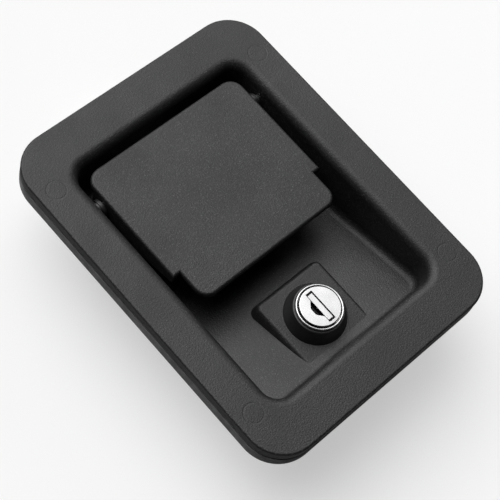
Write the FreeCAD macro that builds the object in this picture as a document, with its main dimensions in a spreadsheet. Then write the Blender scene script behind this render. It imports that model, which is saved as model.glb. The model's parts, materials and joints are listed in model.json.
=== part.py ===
import FreeCAD, Part

import math
import os
import re

import Sketcher

# Flush paddle compression latch, as an assembly of separate pieces.
# X runs across the latch, Y along it towards the hinge end, Z out of the door.
# The origin is the middle of the panel seat, which is the underside of the gasket.
# Every piece is drawn from the flange's face, so a depth is a distance below that face.

SIZES = {
    # Flange and gasket
    "flange_side": 15.0,
    "flange_end": 17.5,
    "flange_corner": 14.5,
    "flange_thickness": 4.0,
    "flange_edge_round": 0.8,
    "gasket_thickness": 6.0,
    "gasket_overhang": 0.4,
    "gasket_neck": 0.8,
    "gasket_neck_inset": 1.3,
    "gasket_clearance": 0.6,
    "notch_clearance": 0.6,
    "notch_corner": 1.5,
    # Recess of the dish
    "wall": 2.5,
    "draft": 1.5,
    "spare": 2.0,
    "recess_width": 77.0,
    "recess_length": 105.0,
    "recess_corner": 6.5,
    "recess_depth": 25.0,
    "floor_round": 3.0,
    "rim_round": 3.6,
    "ramp_start": 2.0,
    "ramp_end_depth": 14.0,
    "ramp_blend": 30.0,
    # Raised pad round the lock, its sides spread towards the floor
    "lock_pad_side": 1.6,
    "lock_pad_depth": 15.0,
    "lock_pad_flare": 6.5,
    "lock_pad_front_flare": 4.5,
    "lock_pad_corner": 0.8,
    "lock_pad_round": 1.5,
    "lock_pad_foot": 2.4,
    "lock_pad_foot_share": 0.4,
    "lock_pad_flare_share": 0.8,
    # Mounting studs
    "stud_side": 8.25,
    "stud_end": 2.5,
    "stud_diameter": 5.0,
    "stud_collar_diameter": 7.0,
    "stud_length": 20.0,
    "stud_root": 2.6,
    "stud_tip_round": 0.8,
    "stud_hole_clearance": 1.25,
    # Pivot
    "pivot_inset": 13.5,
    "pin_diameter": 4.0,
    "running_clearance": 0.05,
    "pivot_boss_rim": 1.7,
    "pivot_boss_height": 0.6,
    "pin_overhang": 1.9,
    "clip_rim": 2.3,
    "clip_thickness": 0.8,
    "clip_groove": 0.5,
    "clip_play": 0.1,
    "clip_mouth_share": 0.8,
    "spacer_collar_rim": 0.4,
    "spacer_collar": 1.3,
    "spacer_wall": 1.2,
    "spacer_gap": 0.3,
    "spacer_wall_gap": 1.0,
    # Paddle, pressed from sheet
    "paddle_depth": 3.3,
    "paddle_sheet": 2.0,
    "paddle_side_gap": 3.8,
    "paddle_end_gap": 3.0,
    "paddle_length": 60.0,
    "paddle_top_corner": 5.5,
    "notch_width": 3.0,
    "notch_length": 12.9,
    "lip_corner": 5.0,
    "paddle_edge_round": 1.1,
    "paddle_side_drop": 4.6,
    "paddle_side_corner": 1.5,
    "paddle_ear_margin": 4.5,
    "paddle_ear_run": 14.0,
    "paddle_ear_bend": 6.0,
    "weld_stud_diameter": 5.0,
    "weld_stud_spacing": 14.0,
    "weld_stud_inset": 22.0,
    "weld_stud_length": 8.6,
    "weld_stud_root": 0.5,
    # Lever bracket and hook
    "lever_width": 24.0,
    "lever_sheet": 3.0,
    "lever_reach": 33.0,
    "lever_inset": 3.0,
    "lever_bend": 4.0,
    "lever_corner": 3.0,
    "leg_overlap": 2.4,
    "bolt_hole_clearance": 0.25,
    "hook_drop": 1.0,
    "hook_edge": 6.0,
    "hook_bolt_drop": 13.2,
    "hook_bolt_spacing": 12.0,
    "hook_slot_travel": 4.0,
    "hook_slot_above": 1.5,
    "bolt_diameter": 5.0,
    "bolt_flats": 8.0,
    "bolt_head": 3.5,
    "nut_thickness": 4.0,
    "washer_diameter": 10.0,
    "washer_thickness": 1.0,
    "washer_play": 0.1,
    "thread_play": 0.02,
    "bolt_end_margin": 0.9,
    # Roller at the hook's tip
    "roller_reach": 33.0,
    "roller_diameter": 12.0,
    "roller_side_clearance": 0.4,
    "roller_end_clearance": 1.0,
    "roller_round": 1.0,
    "ear_height": 9.0,
    "ear_root": 9.0,
    "ear_corner": 1.5,
    "ear_overlap": 2.0,
    "ear_round_share": 0.98,
    "rivet_head_diameter": 6.4,
    "rivet_head": 1.3,
    "rivet_dome_share": 0.8,
    # Torsion springs on the pin
    "spring_pin_gap": 0.5,
    "spring_wire": 1.4,
    "spring_leg_share": 0.86,
    "spring_side_gap": 5.0,
    "spring_end_gap": 4.0,
    "spring_leg": 7.5,
    "spring_paddle_gap": 0.5,
    "spring_seat_clearance": 0.3,
    # Slot in the floor for the lever
    "floor_slot_side": 3.0,
    "floor_slot_swing": 19.5,
    "floor_slot_behind": 8.0,
    "floor_slot_corner": 3.0,
    # Lock
    "lock_inset": 16.9,
    "lock_seat_rim": 1.6,
    "barrel_diameter": 16.0,
    "barrel_clearance": 0.1,
    "barrel_wall": 1.75,
    "throat_wall": 0.4,
    "sleeve_height": 5.8,
    "sleeve_rim": 0.7,
    "sleeve_spread": 2.2,
    "sleeve_round_share": 0.8,
    "sleeve_seat": 0.2,
    "sleeve_seat_clearance": 0.2,
    "trim_rim": 0.6,
    "trim_lap": 0.2,
    "trim_proud": 1.2,
    "trim_height": 2.5,
    "trim_clearance": 0.1,
    "trim_seat_gap": 0.05,
    "trim_round": 0.35,
    "plug_inset": -0.6,
    "plug_face_gap": 0.15,
    "plug_face_height": 4.45,
    "plug_shoulder_gap": 0.1,
    "plug_face_round": 0.25,
    "plug_tail_square": 6.0,
    "plug_tail_short": 0.1,
    "key_slot_depth": 11.0,
    "keyway_width": 2.0,
    "keyway_length": 8.4,
    "keyway_corner": 0.3,
    "crescent_reach": 3.45,
    "crescent_length": 8.2,
    "crescent_depth": 1.3,
    "crescent_bend": 1.6,
    "crescent_inset": 0.2,
    "crescent_slope": 32.0,
    "shutter_width": 2.3,
    "shutter_length": 10.8,
    "shutter_thickness": 0.8,
    "shutter_gap": 0.12,
    "shutter_recess": 0.1,
    "shutter_swing_room": 1.2,
    "shutter_round_share": 0.49,
    "shutter_pin_diameter": 0.6,
    "shutter_pin_length": 0.6,
    "shutter_pin_play": 0.06,
    "window_corner": 0.15,
    "lock_washer_rim": 1.0,
    "lock_washer_thickness": 0.8,
    "lock_nut_wall": 3.0,
    "lock_nut_thickness": 3.5,
    "lock_nut_margin": 0.5,
    # Crank and sliding lock plate
    "crank_radius": 11.0,
    "crank_angle": 45.0,
    "crank_thickness": 1.8,
    "crank_gap": 0.3,
    "crank_plate_gap": 0.7,
    "crank_hub_diameter": 13.0,
    "crank_tip_diameter": 8.0,
    "crank_arm_start": 0.8,
    "crank_arm_inset": 0.4,
    "crank_pin_diameter": 4.0,
    "crank_pin_reach": 0.4,
    "square_clearance": 0.05,
    "cam_washer_diameter": 9.0,
    "cam_washer_thickness": 0.6,
    "cam_screw_diameter": 4.0,
    "cam_screw_flats": 7.0,
    "cam_screw_head": 2.8,
    "cam_screw_length": 7.0,
    "cam_screw_bore_end": 0.2,
    "plate_gap": 1.1,
    "plate_sheet": 2.0,
    "plate_side": 7.0,
    "plate_bar": 3.5,
    "plate_leg_gap": 0.44,
    "plate_window_length": 12.5,
    "plate_window_side": 2.0,
    "plate_edge": 5.94,
    "plate_relief_length": 12.0,
    "plate_relief_side": 1.2,
    "plate_arm_side": 3.78,
    "plate_arm_margin": 4.0,
    "plate_arm_corner": 1.5,
    "plate_corner": 2.0,
    "fork_clearance": 0.42,
    "fork_lead": 0.38,
    "fork_corner": 0.5,
    "guide_inset": 9.0,
    "guide_margin": 5.5,
    "guide_shoulder_diameter": 5.0,
    "guide_slot_clearance": 0.15,
    "guide_head_diameter": 9.0,
    "guide_head": 2.0,
    "guide_play": 0.3,
    "guide_thread_diameter": 4.0,
    "guide_thread_length": 3.1,
    "guide_bore_end": 0.2,
    "guide_boss_diameter": 9.0,
}

# Sizes that follow from those above, so that the pieces still fit when one changes
FITS = {
    "rise": "gasket_thickness + flange_thickness",
    "flange_width": "recess_width + 2 * flange_side",
    "flange_length": "recess_length + 2 * flange_end",
    "stud_spacing_across": "recess_width + 2 * stud_side",
    "stud_spacing_along": "recess_length - 2 * stud_end",
    "ramp_slope": "(recess_depth - ramp_end_depth) / (ramp_start + recess_length / 2)",
    # Paddle
    "paddle_width": "recess_width - 2 * paddle_side_gap",
    "paddle_top": "recess_length / 2 - paddle_end_gap",
    "paddle_under": "paddle_depth + paddle_sheet",
    "lip_width": "paddle_width - 2 * notch_width",
    "lip_end": "paddle_length - paddle_top",
    "notch_along": "notch_length - lip_end",
    # Pivot
    "pivot_along": "recess_length / 2 - pivot_inset",
    "pivot_depth": "paddle_under + spring_inner_diameter / 2 + spring_wire + spring_paddle_gap",
    "pivot_bore": "pin_diameter + 2 * running_clearance",
    "pivot_boss_reach": "recess_width / 2 + wall + pivot_boss_height",
    "clip_diameter": "pin_diameter + 2 * clip_rim",
    "pivot_boss_diameter": "clip_diameter + 2 * pivot_boss_rim",
    "spacer_diameter": "pin_diameter + 2 * spacer_wall",
    "spacer_collar_diameter": "spacer_diameter + 2 * spacer_collar_rim",
    "spring_inner_diameter": "pin_diameter + 2 * spring_pin_gap",
    "spring_leg_diameter": "spring_leg_share * spring_wire",
    "spring_start": "lever_width / 2 + spring_side_gap",
    "spring_end": "paddle_width / 2 - paddle_sheet - spring_end_gap",
    "spring_length": "spring_end - spring_start",
    # Lever and hook
    "weld_stud_along": "pivot_along - weld_stud_inset",
    "lever_front": "pivot_along - lever_reach",
    "lever_back": "pivot_along - lever_inset",
    "leg_front": "lever_back - lever_sheet",
    "lever_under": "paddle_under + lever_sheet",
    "lever_bottom": "plate_under + leg_overlap",
    "hook_back": "lever_back + lever_sheet",
    "hook_bottom": "lever_bottom + hook_drop",
    "hook_bolt_depth": "lever_under + hook_bolt_drop",
    "hook_top": "hook_bolt_depth - hook_edge",
    "roller_along": "pivot_along + roller_reach",
    "roller_depth": "hook_bottom - lever_sheet / 2",
    "roller_gap": "lever_width - 2 * lever_sheet",
    "roller_width": "roller_gap - 2 * roller_side_clearance",
    "floor_slot_width": "lever_width + 2 * floor_slot_side",
    "floor_slot_front": "lever_back - floor_slot_swing",
    "floor_slot_back": "lever_back + floor_slot_behind",
    # Lock
    "lock_along": "recess_length / 2 - lock_inset",
    "barrel_end_depth": "plate_top_depth - crank_plate_gap - crank_thickness - crank_gap",
    "lock_nut_flats": "barrel_diameter + 2 * lock_nut_wall",
    "lock_washer_diameter": "lock_nut_flats + 2 * lock_washer_rim",
    "lock_nut_under": "barrel_end_depth - lock_nut_margin",
    "lock_nut_top": "lock_nut_under - lock_nut_thickness",
    "lock_seat_depth": "lock_nut_top - lock_washer_thickness",
    "lock_seat_diameter": "lock_washer_diameter + 2 * lock_seat_rim",
    "lock_pad_width": "lock_seat_diameter + 2 * lock_pad_side",
    "lock_pad_front": "lock_along - lock_pad_width / 2",
    "trim_diameter": "barrel_diameter + 2 * trim_rim",
    "trim_inner_diameter": "barrel_diameter - 2 * trim_lap",
    "trim_depth": "sleeve_top_depth - trim_proud",
    "trim_under": "trim_depth + trim_height",
    "sleeve_top_depth": "lock_pad_depth - sleeve_height",
    "sleeve_under": "lock_pad_depth + sleeve_seat",
    "sleeve_top_diameter": "trim_diameter + 2 * sleeve_rim",
    "sleeve_base_diameter": "sleeve_top_diameter + 2 * sleeve_spread",
    "sleeve_edge_round": "sleeve_round_share * (sleeve_rim - trim_clearance)",
    "plug_face_depth": "trim_depth + plug_inset",
    "plug_shoulder": "plug_face_depth + plug_face_height",
    "plug_face_diameter": "barrel_diameter - 2 * throat_wall - 2 * plug_face_gap",
    "plug_diameter": "barrel_diameter - 2 * barrel_wall - 2 * running_clearance",
    "window_width": "shutter_width + 2 * shutter_gap",
    "window_length": "shutter_length + 2 * shutter_gap",
    "shutter_axis": "shutter_width / 2 - shutter_thickness / 2",
    "shutter_top": "plug_face_depth + shutter_recess",
    "shutter_under": "shutter_top + shutter_thickness",
    "shutter_depth": "shutter_top + shutter_thickness / 2",
    # Crank and lock plate
    "crank_top": "barrel_end_depth + crank_gap",
    "crank_under": "crank_top + crank_thickness",
    "crank_side": "crank_radius * cos(crank_angle * 1 deg)",
    "crank_drop": "crank_radius * sin(crank_angle * 1 deg)",
    "plate_top_depth": "recess_depth + wall + plate_gap",
    "plate_under": "plate_top_depth + plate_sheet",
    "plate_travel": "2 * crank_drop",
    "plate_back": "leg_front - plate_leg_gap - plate_travel",
    "plate_bar_front": "plate_back - plate_bar",
    "plate_window_front": "plate_bar_front - plate_window_length",
    "plate_window_width": "lever_width + 2 * plate_window_side",
    "plate_width": "plate_window_width + 2 * plate_side",
    "plate_front": "guide_along + plate_travel + plate_edge",
    "plate_arm_inner": "crank_side - crank_pin_diameter / 2 - fork_lead",
    "plate_arm_outer": "fork_reach + plate_arm_side",
    "fork_reach": "crank_radius + fork_gap",
    "fork_along": "lock_along + crank_drop",
    "fork_gap": "crank_pin_diameter / 2 + fork_clearance",
    "guide_spacing": "plate_width - 2 * guide_inset",
    "guide_along": "guide_margin - plate_window_front",
    "guide_seat": "plate_top_depth - guide_play",
}

WORD = re.compile(r"[a-z_]+[a-z_0-9]*")
# How close, in millimetres, two places on an edge or a face count as the same.
TOUCH = 0.01
LEVEL = 1e-4
# The least volume, in cubic millimetres, that a cut has to take away.
LEAST_CUT = 1e-6
# Edges below this height belong to the dish's floor and not to its rim.
BELOW_RIM = -3
# Up to this steepness a face counts as flat, and from this one as upright.
FLAT = 0.3
STEEP = 0.7

doc = FreeCAD.newDocument("paddle_latch")
dims = doc.addObject("Spreadsheet::Sheet", "dims")
for row, (alias, size) in enumerate(SIZES.items(), start=1):
    dims.set(f"A{row}", alias)
    dims.set(f"B{row}", str(size))
    dims.setAlias(f"B{row}", alias)
doc.recompute()


def formula(text):
    """The expression with every fit spelled out and every size pointed at the sheet."""
    return WORD.sub(spell, text)


def spell(match):
    """One word of an expression, in terms of the sheet."""
    word = match[0]
    if word in FITS:
        return f"({formula(FITS[word])})"
    return f"dims.{word}" if word in SIZES else word


def value(text):
    """The number that an expression has now."""
    return float(dims.evalExpression(formula(text)))


def bind(item, prop, text):
    """Ties a property to an expression of the sheet's sizes."""
    item.setExpression(prop, formula(text))


class Drawing:
    """A sketch on an origin plane of its own body, with all its dimensions bound."""

    def __init__(self, body, name, plane="XY_Plane", offset="0"):
        self.sketch = body.newObject("Sketcher::SketchObject", name)
        planes = body.Origin.OriginFeatures
        support = next(item for item in planes if item.Role == plane)
        self.sketch.AttachmentSupport = [(support, "")]
        self.sketch.MapMode = "FlatFace"
        bind(self.sketch, "AttachmentOffset.Base.z", offset)

    def constrain(self, *terms):
        return self.sketch.addConstraint(Sketcher.Constraint(*terms))

    def dimension(self, text, kind, *terms):
        """Adds a dimension whose value follows an expression."""
        index = self.constrain(kind, *terms, value(text))
        bind(self.sketch, f"Constraints[{index}]", text)

    def place(self, geometry, point, x, y):
        """Fixes a point of the geometry at x, y from the sketch's origin."""
        for text, kind, axis in ((x, "DistanceX", -2), (y, "DistanceY", -1)):
            if text == "0":
                self.constrain("PointOnObject", geometry, point, axis)
            else:
                self.dimension(text, kind, -1, 1, geometry, point)

    def circle(self, x, y, diameter):
        centre = FreeCAD.Vector(value(x), value(y), 0)
        up = FreeCAD.Vector(0, 0, 1)
        round_edge = Part.Circle(centre, up, value(diameter) / 2)
        index = self.sketch.addGeometry(round_edge, False)
        self.place(index, 3, x, y)
        self.dimension(diameter, "Diameter", index)
        return self

    def outline(self, corners):
        """A closed outline through corners (x, y), or (x, y, radius) where it is rounded."""
        sketch = self.sketch
        spots = [FreeCAD.Vector(value(c[0]), value(c[1]), 0) for c in corners]
        count = len(corners)
        bends = [self.bend(spots, i, corners[i]) for i in range(count)]
        lines = []
        for i in range(count):
            start = bends[i]["out"]
            end = bends[(i + 1) % count]["into"]
            lines.append(sketch.addGeometry(Part.LineSegment(start, end), False))
        for i, corner in enumerate(corners):
            before, after = lines[i - 1], lines[i]
            if len(corner) == 2:
                self.constrain("Coincident", before, 2, after, 1)
                self.place(after, 1, corner[0], corner[1])
                continue
            mark = sketch.addGeometry(Part.Point(spots[i]), True)
            self.place(mark, 1, corner[0], corner[1])
            self.constrain("PointOnObject", mark, 1, before)
            self.constrain("PointOnObject", mark, 1, after)
            arc = sketch.addGeometry(bends[i]["arc"], False)
            first, last = (1, 2) if bends[i]["left"] else (2, 1)
            self.constrain("Tangent", before, 2, arc, first)
            self.constrain("Tangent", after, 1, arc, last)
            self.dimension(corner[2], "Radius", arc)
        return self

    @staticmethod
    def bend(spots, i, corner):
        """Where the straight edges end beside corner i, and the arc between them."""
        here = spots[i]
        if len(corner) == 2:
            return {"into": here, "out": here}
        radius = value(corner[2])
        back = (spots[i - 1] - here).normalize()
        ahead = (spots[(i + 1) % len(spots)] - here).normalize()
        half = back.getAngle(ahead) / 2
        into = here + back * (radius / math.tan(half))
        out = here + ahead * (radius / math.tan(half))
        centre = here + (back + ahead).normalize() * (radius / math.sin(half))
        left = back.cross(ahead).z < 0
        ends = (into, out) if left else (out, into)
        angles = [math.atan2(p.y - centre.y, p.x - centre.x) for p in ends]
        ring = Part.Circle(centre, FreeCAD.Vector(0, 0, 1), radius)
        arc = Part.ArcOfCircle(ring, angles[0], angles[1])
        return {"into": into, "out": out, "arc": arc, "left": left}

    def rectangle(self, x0, y0, x1, y1, radius=None):
        """A rectangle between two opposite corners, x0 < x1 and y0 < y1."""
        corners = [(x0, y0), (x1, y0), (x1, y1), (x0, y1)]
        return self.outline([c + (radius,) if radius else c for c in corners])

    def centred(self, width, length, radius=None):
        """A rectangle about the sketch's origin."""
        x, y = f"{width} / 2", f"{length} / 2"
        return self.rectangle(f"-{x}", f"-{y}", x, y, radius)

    def hexagon(self, x, y, flats):
        """A hexagon with two sides along the sketch's x."""
        reach = f"{flats} / sqrt(3)"
        shares = ((1, 0), (0.5, 1), (-0.5, 1), (-1, 0), (-0.5, -1), (0.5, -1))
        return self.outline(
            [(f"{x} + {a} * {reach}", f"{y} + {b} * {flats} / 2") for a, b in shares]
        )

    def slot(self, x, low, high, radius):
        """A slot along the sketch's y, with its end centres at low and high."""
        sketch = self.sketch
        up = FreeCAD.Vector(0, 0, 1)
        middle, size = value(x), value(radius)
        ends = [FreeCAD.Vector(middle, value(y), 0) for y in (low, high)]
        arcs = []
        for centre, start in ((ends[0], math.pi), (ends[1], 0.0)):
            ring = Part.Circle(centre, up, size)
            arcs.append(sketch.addGeometry(Part.ArcOfCircle(ring, start, start + math.pi), False))
        side = FreeCAD.Vector(size, 0, 0)
        right = sketch.addGeometry(Part.LineSegment(ends[0] + side, ends[1] + side), False)
        left = sketch.addGeometry(Part.LineSegment(ends[1] - side, ends[0] - side), False)
        self.constrain("Tangent", arcs[0], 2, right, 1)
        self.constrain("Tangent", right, 2, arcs[1], 1)
        self.constrain("Tangent", arcs[1], 2, left, 1)
        self.constrain("Tangent", left, 2, arcs[0], 1)
        self.constrain("Equal", arcs[0], arcs[1])
        self.dimension(radius, "Radius", arcs[0])
        self.place(arcs[0], 3, x, low)
        self.place(arcs[1], 3, x, high)
        return self


class Piece:
    """One body of the latch, built up feature by feature."""

    def __init__(self, label, along="0", rise="rise", turn=None):
        self.body = doc.addObject("PartDesign::Body", label)
        self.body.Label = label
        self.body.AllowCompound = True
        if turn:
            axis = FreeCAD.Vector(0, 0, 1)
            self.body.Placement.Rotation = FreeCAD.Rotation(axis, value(turn))
        bind(self.body, "Placement.Base.y", along)
        bind(self.body, "Placement.Base.z", rise)

    def draw(self, name, plane="XY_Plane", offset="0"):
        return Drawing(self.body, name, plane, offset)

    def shape(self):
        doc.recompute()
        return self.body.Shape

    def solid(self, kind, name, drawing, length, symmetric=False, down=False, taper=None):
        """A pad or pocket of a drawing."""
        item = self.body.newObject(f"PartDesign::{kind}", name)
        item.Profile = drawing.sketch
        bind(item, "Length", length)
        item.SideType = "Symmetric" if symmetric else "One side"
        item.Reversed = down if kind == "Pad" else not down
        if taper:
            bind(item, "TaperAngle", taper)
        return item

    def pad(self, name, drawing, length, **options):
        self.solid("Pad", name, drawing, length, **options)
        doc.recompute()
        return self

    def pocket(self, name, drawing, length, **options):
        before = self.shape().Volume
        self.solid("Pocket", name, drawing, length, **options)
        self.must_lose(before, name)
        return self

    def revolve(self, name, drawing, axis):
        """A full turn of a drawing about one of the body's origin axes."""
        item = self.body.newObject("PartDesign::Revolution", name)
        item.Profile = drawing.sketch
        lines = self.body.Origin.OriginFeatures
        item.ReferenceAxis = (next(a for a in lines if a.Role == axis), [""])
        item.Angle = 360
        doc.recompute()
        return self

    def round_edges(self, name, radius, keep):
        """Rounds the edges that keep(edge, its faces) accepts."""
        base = self.body.Tip
        doc.recompute()
        names = []
        for number, edge in enumerate(base.Shape.Edges, start=1):
            if keep(edge, base.Shape.ancestorsOfType(edge, Part.Face)):
                names.append(f"Edge{number}")
        if not names:
            raise RuntimeError(f"{name}: no edge to round")
        item = self.body.newObject("PartDesign::Fillet", name)
        item.Base = (base, names)
        bind(item, "Radius", radius)
        doc.recompute()
        return self

    def combine(self, name, other, how):
        """Joins another body's form to this one, or cuts it away."""
        before = self.shape().Volume
        item = self.body.newObject("PartDesign::Boolean", name)
        item.Type = how
        item.setObjects([other.body])
        if how == "Cut":
            self.must_lose(before, name)
        doc.recompute()
        return self

    def must_lose(self, before, name):
        if self.shape().Volume > before - LEAST_CUT:
            raise RuntimeError(f"{name} cuts nothing")


def steepness(face):
    """How far a face's normal lies from Z at its middle: 0 is level, 1 is upright."""
    u0, u1, v0, v1 = face.ParameterRange
    return 1 - abs(face.normalAt((u0 + u1) / 2, (v0 + v1) / 2).z)


def at_height(edge, height):
    """Whether an edge lies in the level plane at a height."""
    box = edge.BoundBox
    return abs(box.ZMin - height) < LEVEL and abs(box.ZMax - height) < LEVEL


def dish_form(label, grow, top):
    """The recess as a solid from a top level down, larger all round by an allowance."""
    form = Piece(label, rise="0")
    plan = form.draw("plan", offset=top)
    plan.centred(
        f"(recess_width + 2 * {grow})",
        f"(recess_length + 2 * {grow})",
        f"recess_corner + {grow}",
    )
    form.pad("prism", plan, f"recess_depth + {grow} + {top} + spare", down=True, taper="-draft")
    floor = f"-(recess_depth + {grow})"
    end = f"(recess_length / 2 + {grow} + spare)"
    slant = f"(-recess_depth + ramp_slope * (ramp_start + {end}))"
    profile = form.draw("floor_line", "YZ_Plane")
    profile.outline(
        [
            (end, floor),
            (f"ramp_start - {grow} * ramp_slope / 2", floor, "ramp_blend"),
            (f"-{end}", f"{slant} - {grow} * sqrt(1 + ramp_slope ^ 2)"),
            (f"-{end}", f"{floor} - 2 * spare"),
            (end, f"{floor} - 2 * spare"),
        ]
    )
    form.pocket("under_floor", profile, "recess_width * 2", symmetric=True)
    form.round_edges("floor_edge", f"floor_round + {grow}", meets_floor)
    return form


def meets_floor(edge, faces):
    """Whether an edge joins the floor of the dish to one of its walls."""
    kinds = sorted(steepness(face) for face in faces)
    low = edge.BoundBox.ZMax < BELOW_RIM
    return low and len(kinds) == 2 and kinds[0] < FLAT and kinds[1] > STEEP


def housing():
    """The cast dish: flange, recess with a ramp floor, lock pad and bosses behind."""
    dish = Piece("housing")
    plate = dish.draw("flange_outline", offset="-flange_thickness")
    plate.centred("flange_width", "flange_length", "flange_corner")
    dish.pad("flange", plate, "flange_thickness")
    dish.combine("dish_outside", dish_form("outside_form", "wall", "-1"), "Fuse")
    hinge = dish.draw("pivot_bosses", "YZ_Plane")
    hinge.circle("pivot_along", "-pivot_depth", "pivot_boss_diameter")
    dish.pad("bosses_at_pivot", hinge, "2 * pivot_boss_reach", symmetric=True)
    seat = dish.draw("lock_seat", offset="-lock_seat_depth")
    seat.circle("0", "-lock_along", "lock_seat_diameter")
    dish.pad("boss_at_lock", seat, "lock_seat_depth - flange_thickness")
    guides = dish.draw("guide_bosses", offset="-guide_seat")
    for side in ("-guide_spacing / 2", "guide_spacing / 2"):
        guides.circle(side, "-guide_along", "guide_boss_diameter")
    dish.pad("bosses_at_guides", guides, "guide_seat - flange_thickness")

    recess = dish_form("recess_form", "0", "1")
    rings = [pad_ring(recess, *ring) for ring in pad_rings()]
    raised = recess.body.newObject("PartDesign::SubtractiveLoft", "raised_pad")
    raised.Profile = rings[0].sketch
    raised.Sections = [(ring.sketch, [""]) for ring in rings[1:]]
    dish.combine("recess", recess, "Cut")

    pin = dish.draw("pin_bore", "YZ_Plane")
    pin.circle("pivot_along", "-pivot_depth", "pivot_bore")
    dish.pocket("pin_holes", pin, "flange_width", symmetric=True)
    window = dish.draw("lever_slot", offset="-(recess_depth - 1)")
    half = "floor_slot_width / 2"
    window.rectangle(
        f"-{half}", "floor_slot_front", half, "floor_slot_back", "floor_slot_corner"
    )
    dish.pocket("lever_opening", window, "wall + spare", down=True)
    spot = dish.draw("spot_face", offset="-lock_seat_depth")
    spot.circle("0", "-lock_along", "lock_seat_diameter")
    dish.pocket("lock_spot_face", spot, "recess_depth", down=True)
    lock = dish.draw("lock_hole", offset="-lock_pad_depth")
    lock.circle("0", "-lock_along", "barrel_diameter + 2 * barrel_clearance")
    dish.pocket("lock_bore", lock, "recess_depth", down=True)
    collar = dish.draw("sleeve_seat", offset="-sleeve_under")
    collar.circle("0", "-lock_along", "sleeve_base_diameter + 2 * sleeve_seat_clearance")
    dish.pocket("collar_seat", collar, "recess_depth")
    studs = dish.draw("stud_sockets", offset="-flange_thickness")
    stud_circles(studs, "stud_collar_diameter")
    dish.pocket("stud_holes", studs, "stud_root")
    threads = dish.draw("guide_holes", offset="-guide_seat")
    for side in ("-guide_spacing / 2", "guide_spacing / 2"):
        threads.circle(side, "-guide_along", "guide_thread_diameter")
    dish.pocket("guide_threads", threads, "guide_thread_length + guide_bore_end")

    dish.round_edges("rim", "rim_round", on_rim)
    dish.round_edges("flange_edge", "flange_edge_round", on_flange_edge)
    return dish


def pad_rings():
    """The lock pad's outlines from its foot up: name, level, spread and share of the flare."""
    deep = "(recess_depth + spare / 2)"
    rings = [("pad_base", deep, "lock_pad_foot", "1")]
    foot = "lock_pad_foot_share * lock_pad_foot"
    rings.append(("pad_foot", f"({deep} - lock_pad_foot)", foot, "lock_pad_flare_share"))
    for angle in (60, 30, 0):
        turn = f"({angle} * 1 deg)"
        level = f"(lock_pad_depth + lock_pad_round * (1 - cos({turn})))"
        spread = f"lock_pad_round * (sin({turn}) - 1)"
        rings.append((f"pad_round_{angle}", level, spread, "0"))
    return rings


def pad_ring(form, name, level, spread, share):
    """One outline of the lock pad, running out of the recess at the lock end."""
    ring = form.draw(name, offset=f"-{level}")
    end = "-(recess_length / 2 + 3)"
    side = f"(lock_pad_width / 2 + {spread} + {share} * lock_pad_flare)"
    front = f"-(lock_pad_front - ({spread}) - {share} * lock_pad_front_flare)"
    corner = f"(lock_pad_corner + lock_pad_round + {spread} + {share} * lock_pad_flare)"
    return ring.rectangle(f"-{side}", end, side, front, corner)


def on_flange_edge(edge, faces):
    """Whether an edge is part of the flange's outline in the face."""
    box = edge.BoundBox
    wide = max(-box.XMin, box.XMax) > value("recess_width / 2 + wall")
    long = max(-box.YMin, box.YMax) > value("recess_length / 2 + wall")
    return at_height(edge, 0) and (wide or long)


def on_rim(edge, faces):
    """Whether an edge is part of the recess's mouth in the face."""
    return at_height(edge, 0) and not on_flange_edge(edge, faces)


def stud_circles(drawing, diameter):
    """A circle at each of the four studs."""
    for across in ("-stud_spacing_across / 2", "stud_spacing_across / 2"):
        for along in ("-stud_spacing_along / 2", "stud_spacing_along / 2"):
            drawing.circle(across, along, diameter)


def flange_gasket():
    """The rubber frame under the flange, with a set-back neck at its top."""
    piece = Piece("flange_gasket")
    full = piece.draw("outline", offset="-rise")
    full.centred(
        "(flange_width + 2 * gasket_overhang)",
        "(flange_length + 2 * gasket_overhang)",
        "flange_corner + gasket_overhang",
    )
    piece.pad("frame", full, "gasket_thickness - gasket_neck")
    neck = piece.draw("neck_outline", offset="-(flange_thickness + gasket_neck)")
    neck.centred(
        "(flange_width - 2 * gasket_neck_inset)",
        "(flange_length - 2 * gasket_neck_inset)",
        "flange_corner - gasket_neck_inset",
    )
    piece.pad("neck", neck, "gasket_neck")
    hole = piece.draw("dish_hole", offset="-rise")
    hole.centred(
        "(recess_width + 2 * wall + 2 * gasket_clearance)",
        "(recess_length + 2 * wall + 2 * gasket_clearance)",
        "recess_corner + wall + gasket_clearance",
    )
    piece.pocket("opening", hole, "gasket_thickness")
    relief = piece.draw("pin_relief", offset="-rise")
    reach = "(pivot_boss_reach + pin_overhang + notch_clearance)"
    side = "(pivot_boss_diameter / 2 + notch_clearance)"
    low, high = f"pivot_along - {side}", f"pivot_along + {side}"
    relief.rectangle(f"-{reach}", low, reach, high, "notch_corner")
    piece.pocket("pin_notches", relief, "gasket_thickness")
    studs = piece.draw("stud_holes", offset="-rise")
    stud_circles(studs, "stud_diameter + 2 * stud_hole_clearance")
    piece.pocket("stud_clearance", studs, "gasket_thickness")
    return piece


def mounting_studs():
    """Four threaded studs, their collars cast into the flange, pointing into the door."""
    piece = Piece("mounting_studs")
    roots = piece.draw("collars", offset="-flange_thickness")
    stud_circles(roots, "stud_collar_diameter")
    piece.pad("cast_collars", roots, "stud_root")
    shanks = piece.draw("studs", offset="-(flange_thickness + stud_length - stud_root)")
    stud_circles(shanks, "stud_diameter")
    piece.pad("shanks", shanks, "stud_length - stud_root")
    tip = value("-(flange_thickness + stud_length - stud_root)")
    piece.round_edges("tips", "stud_tip_round", lambda edge, faces: at_height(edge, tip))
    return piece


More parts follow.
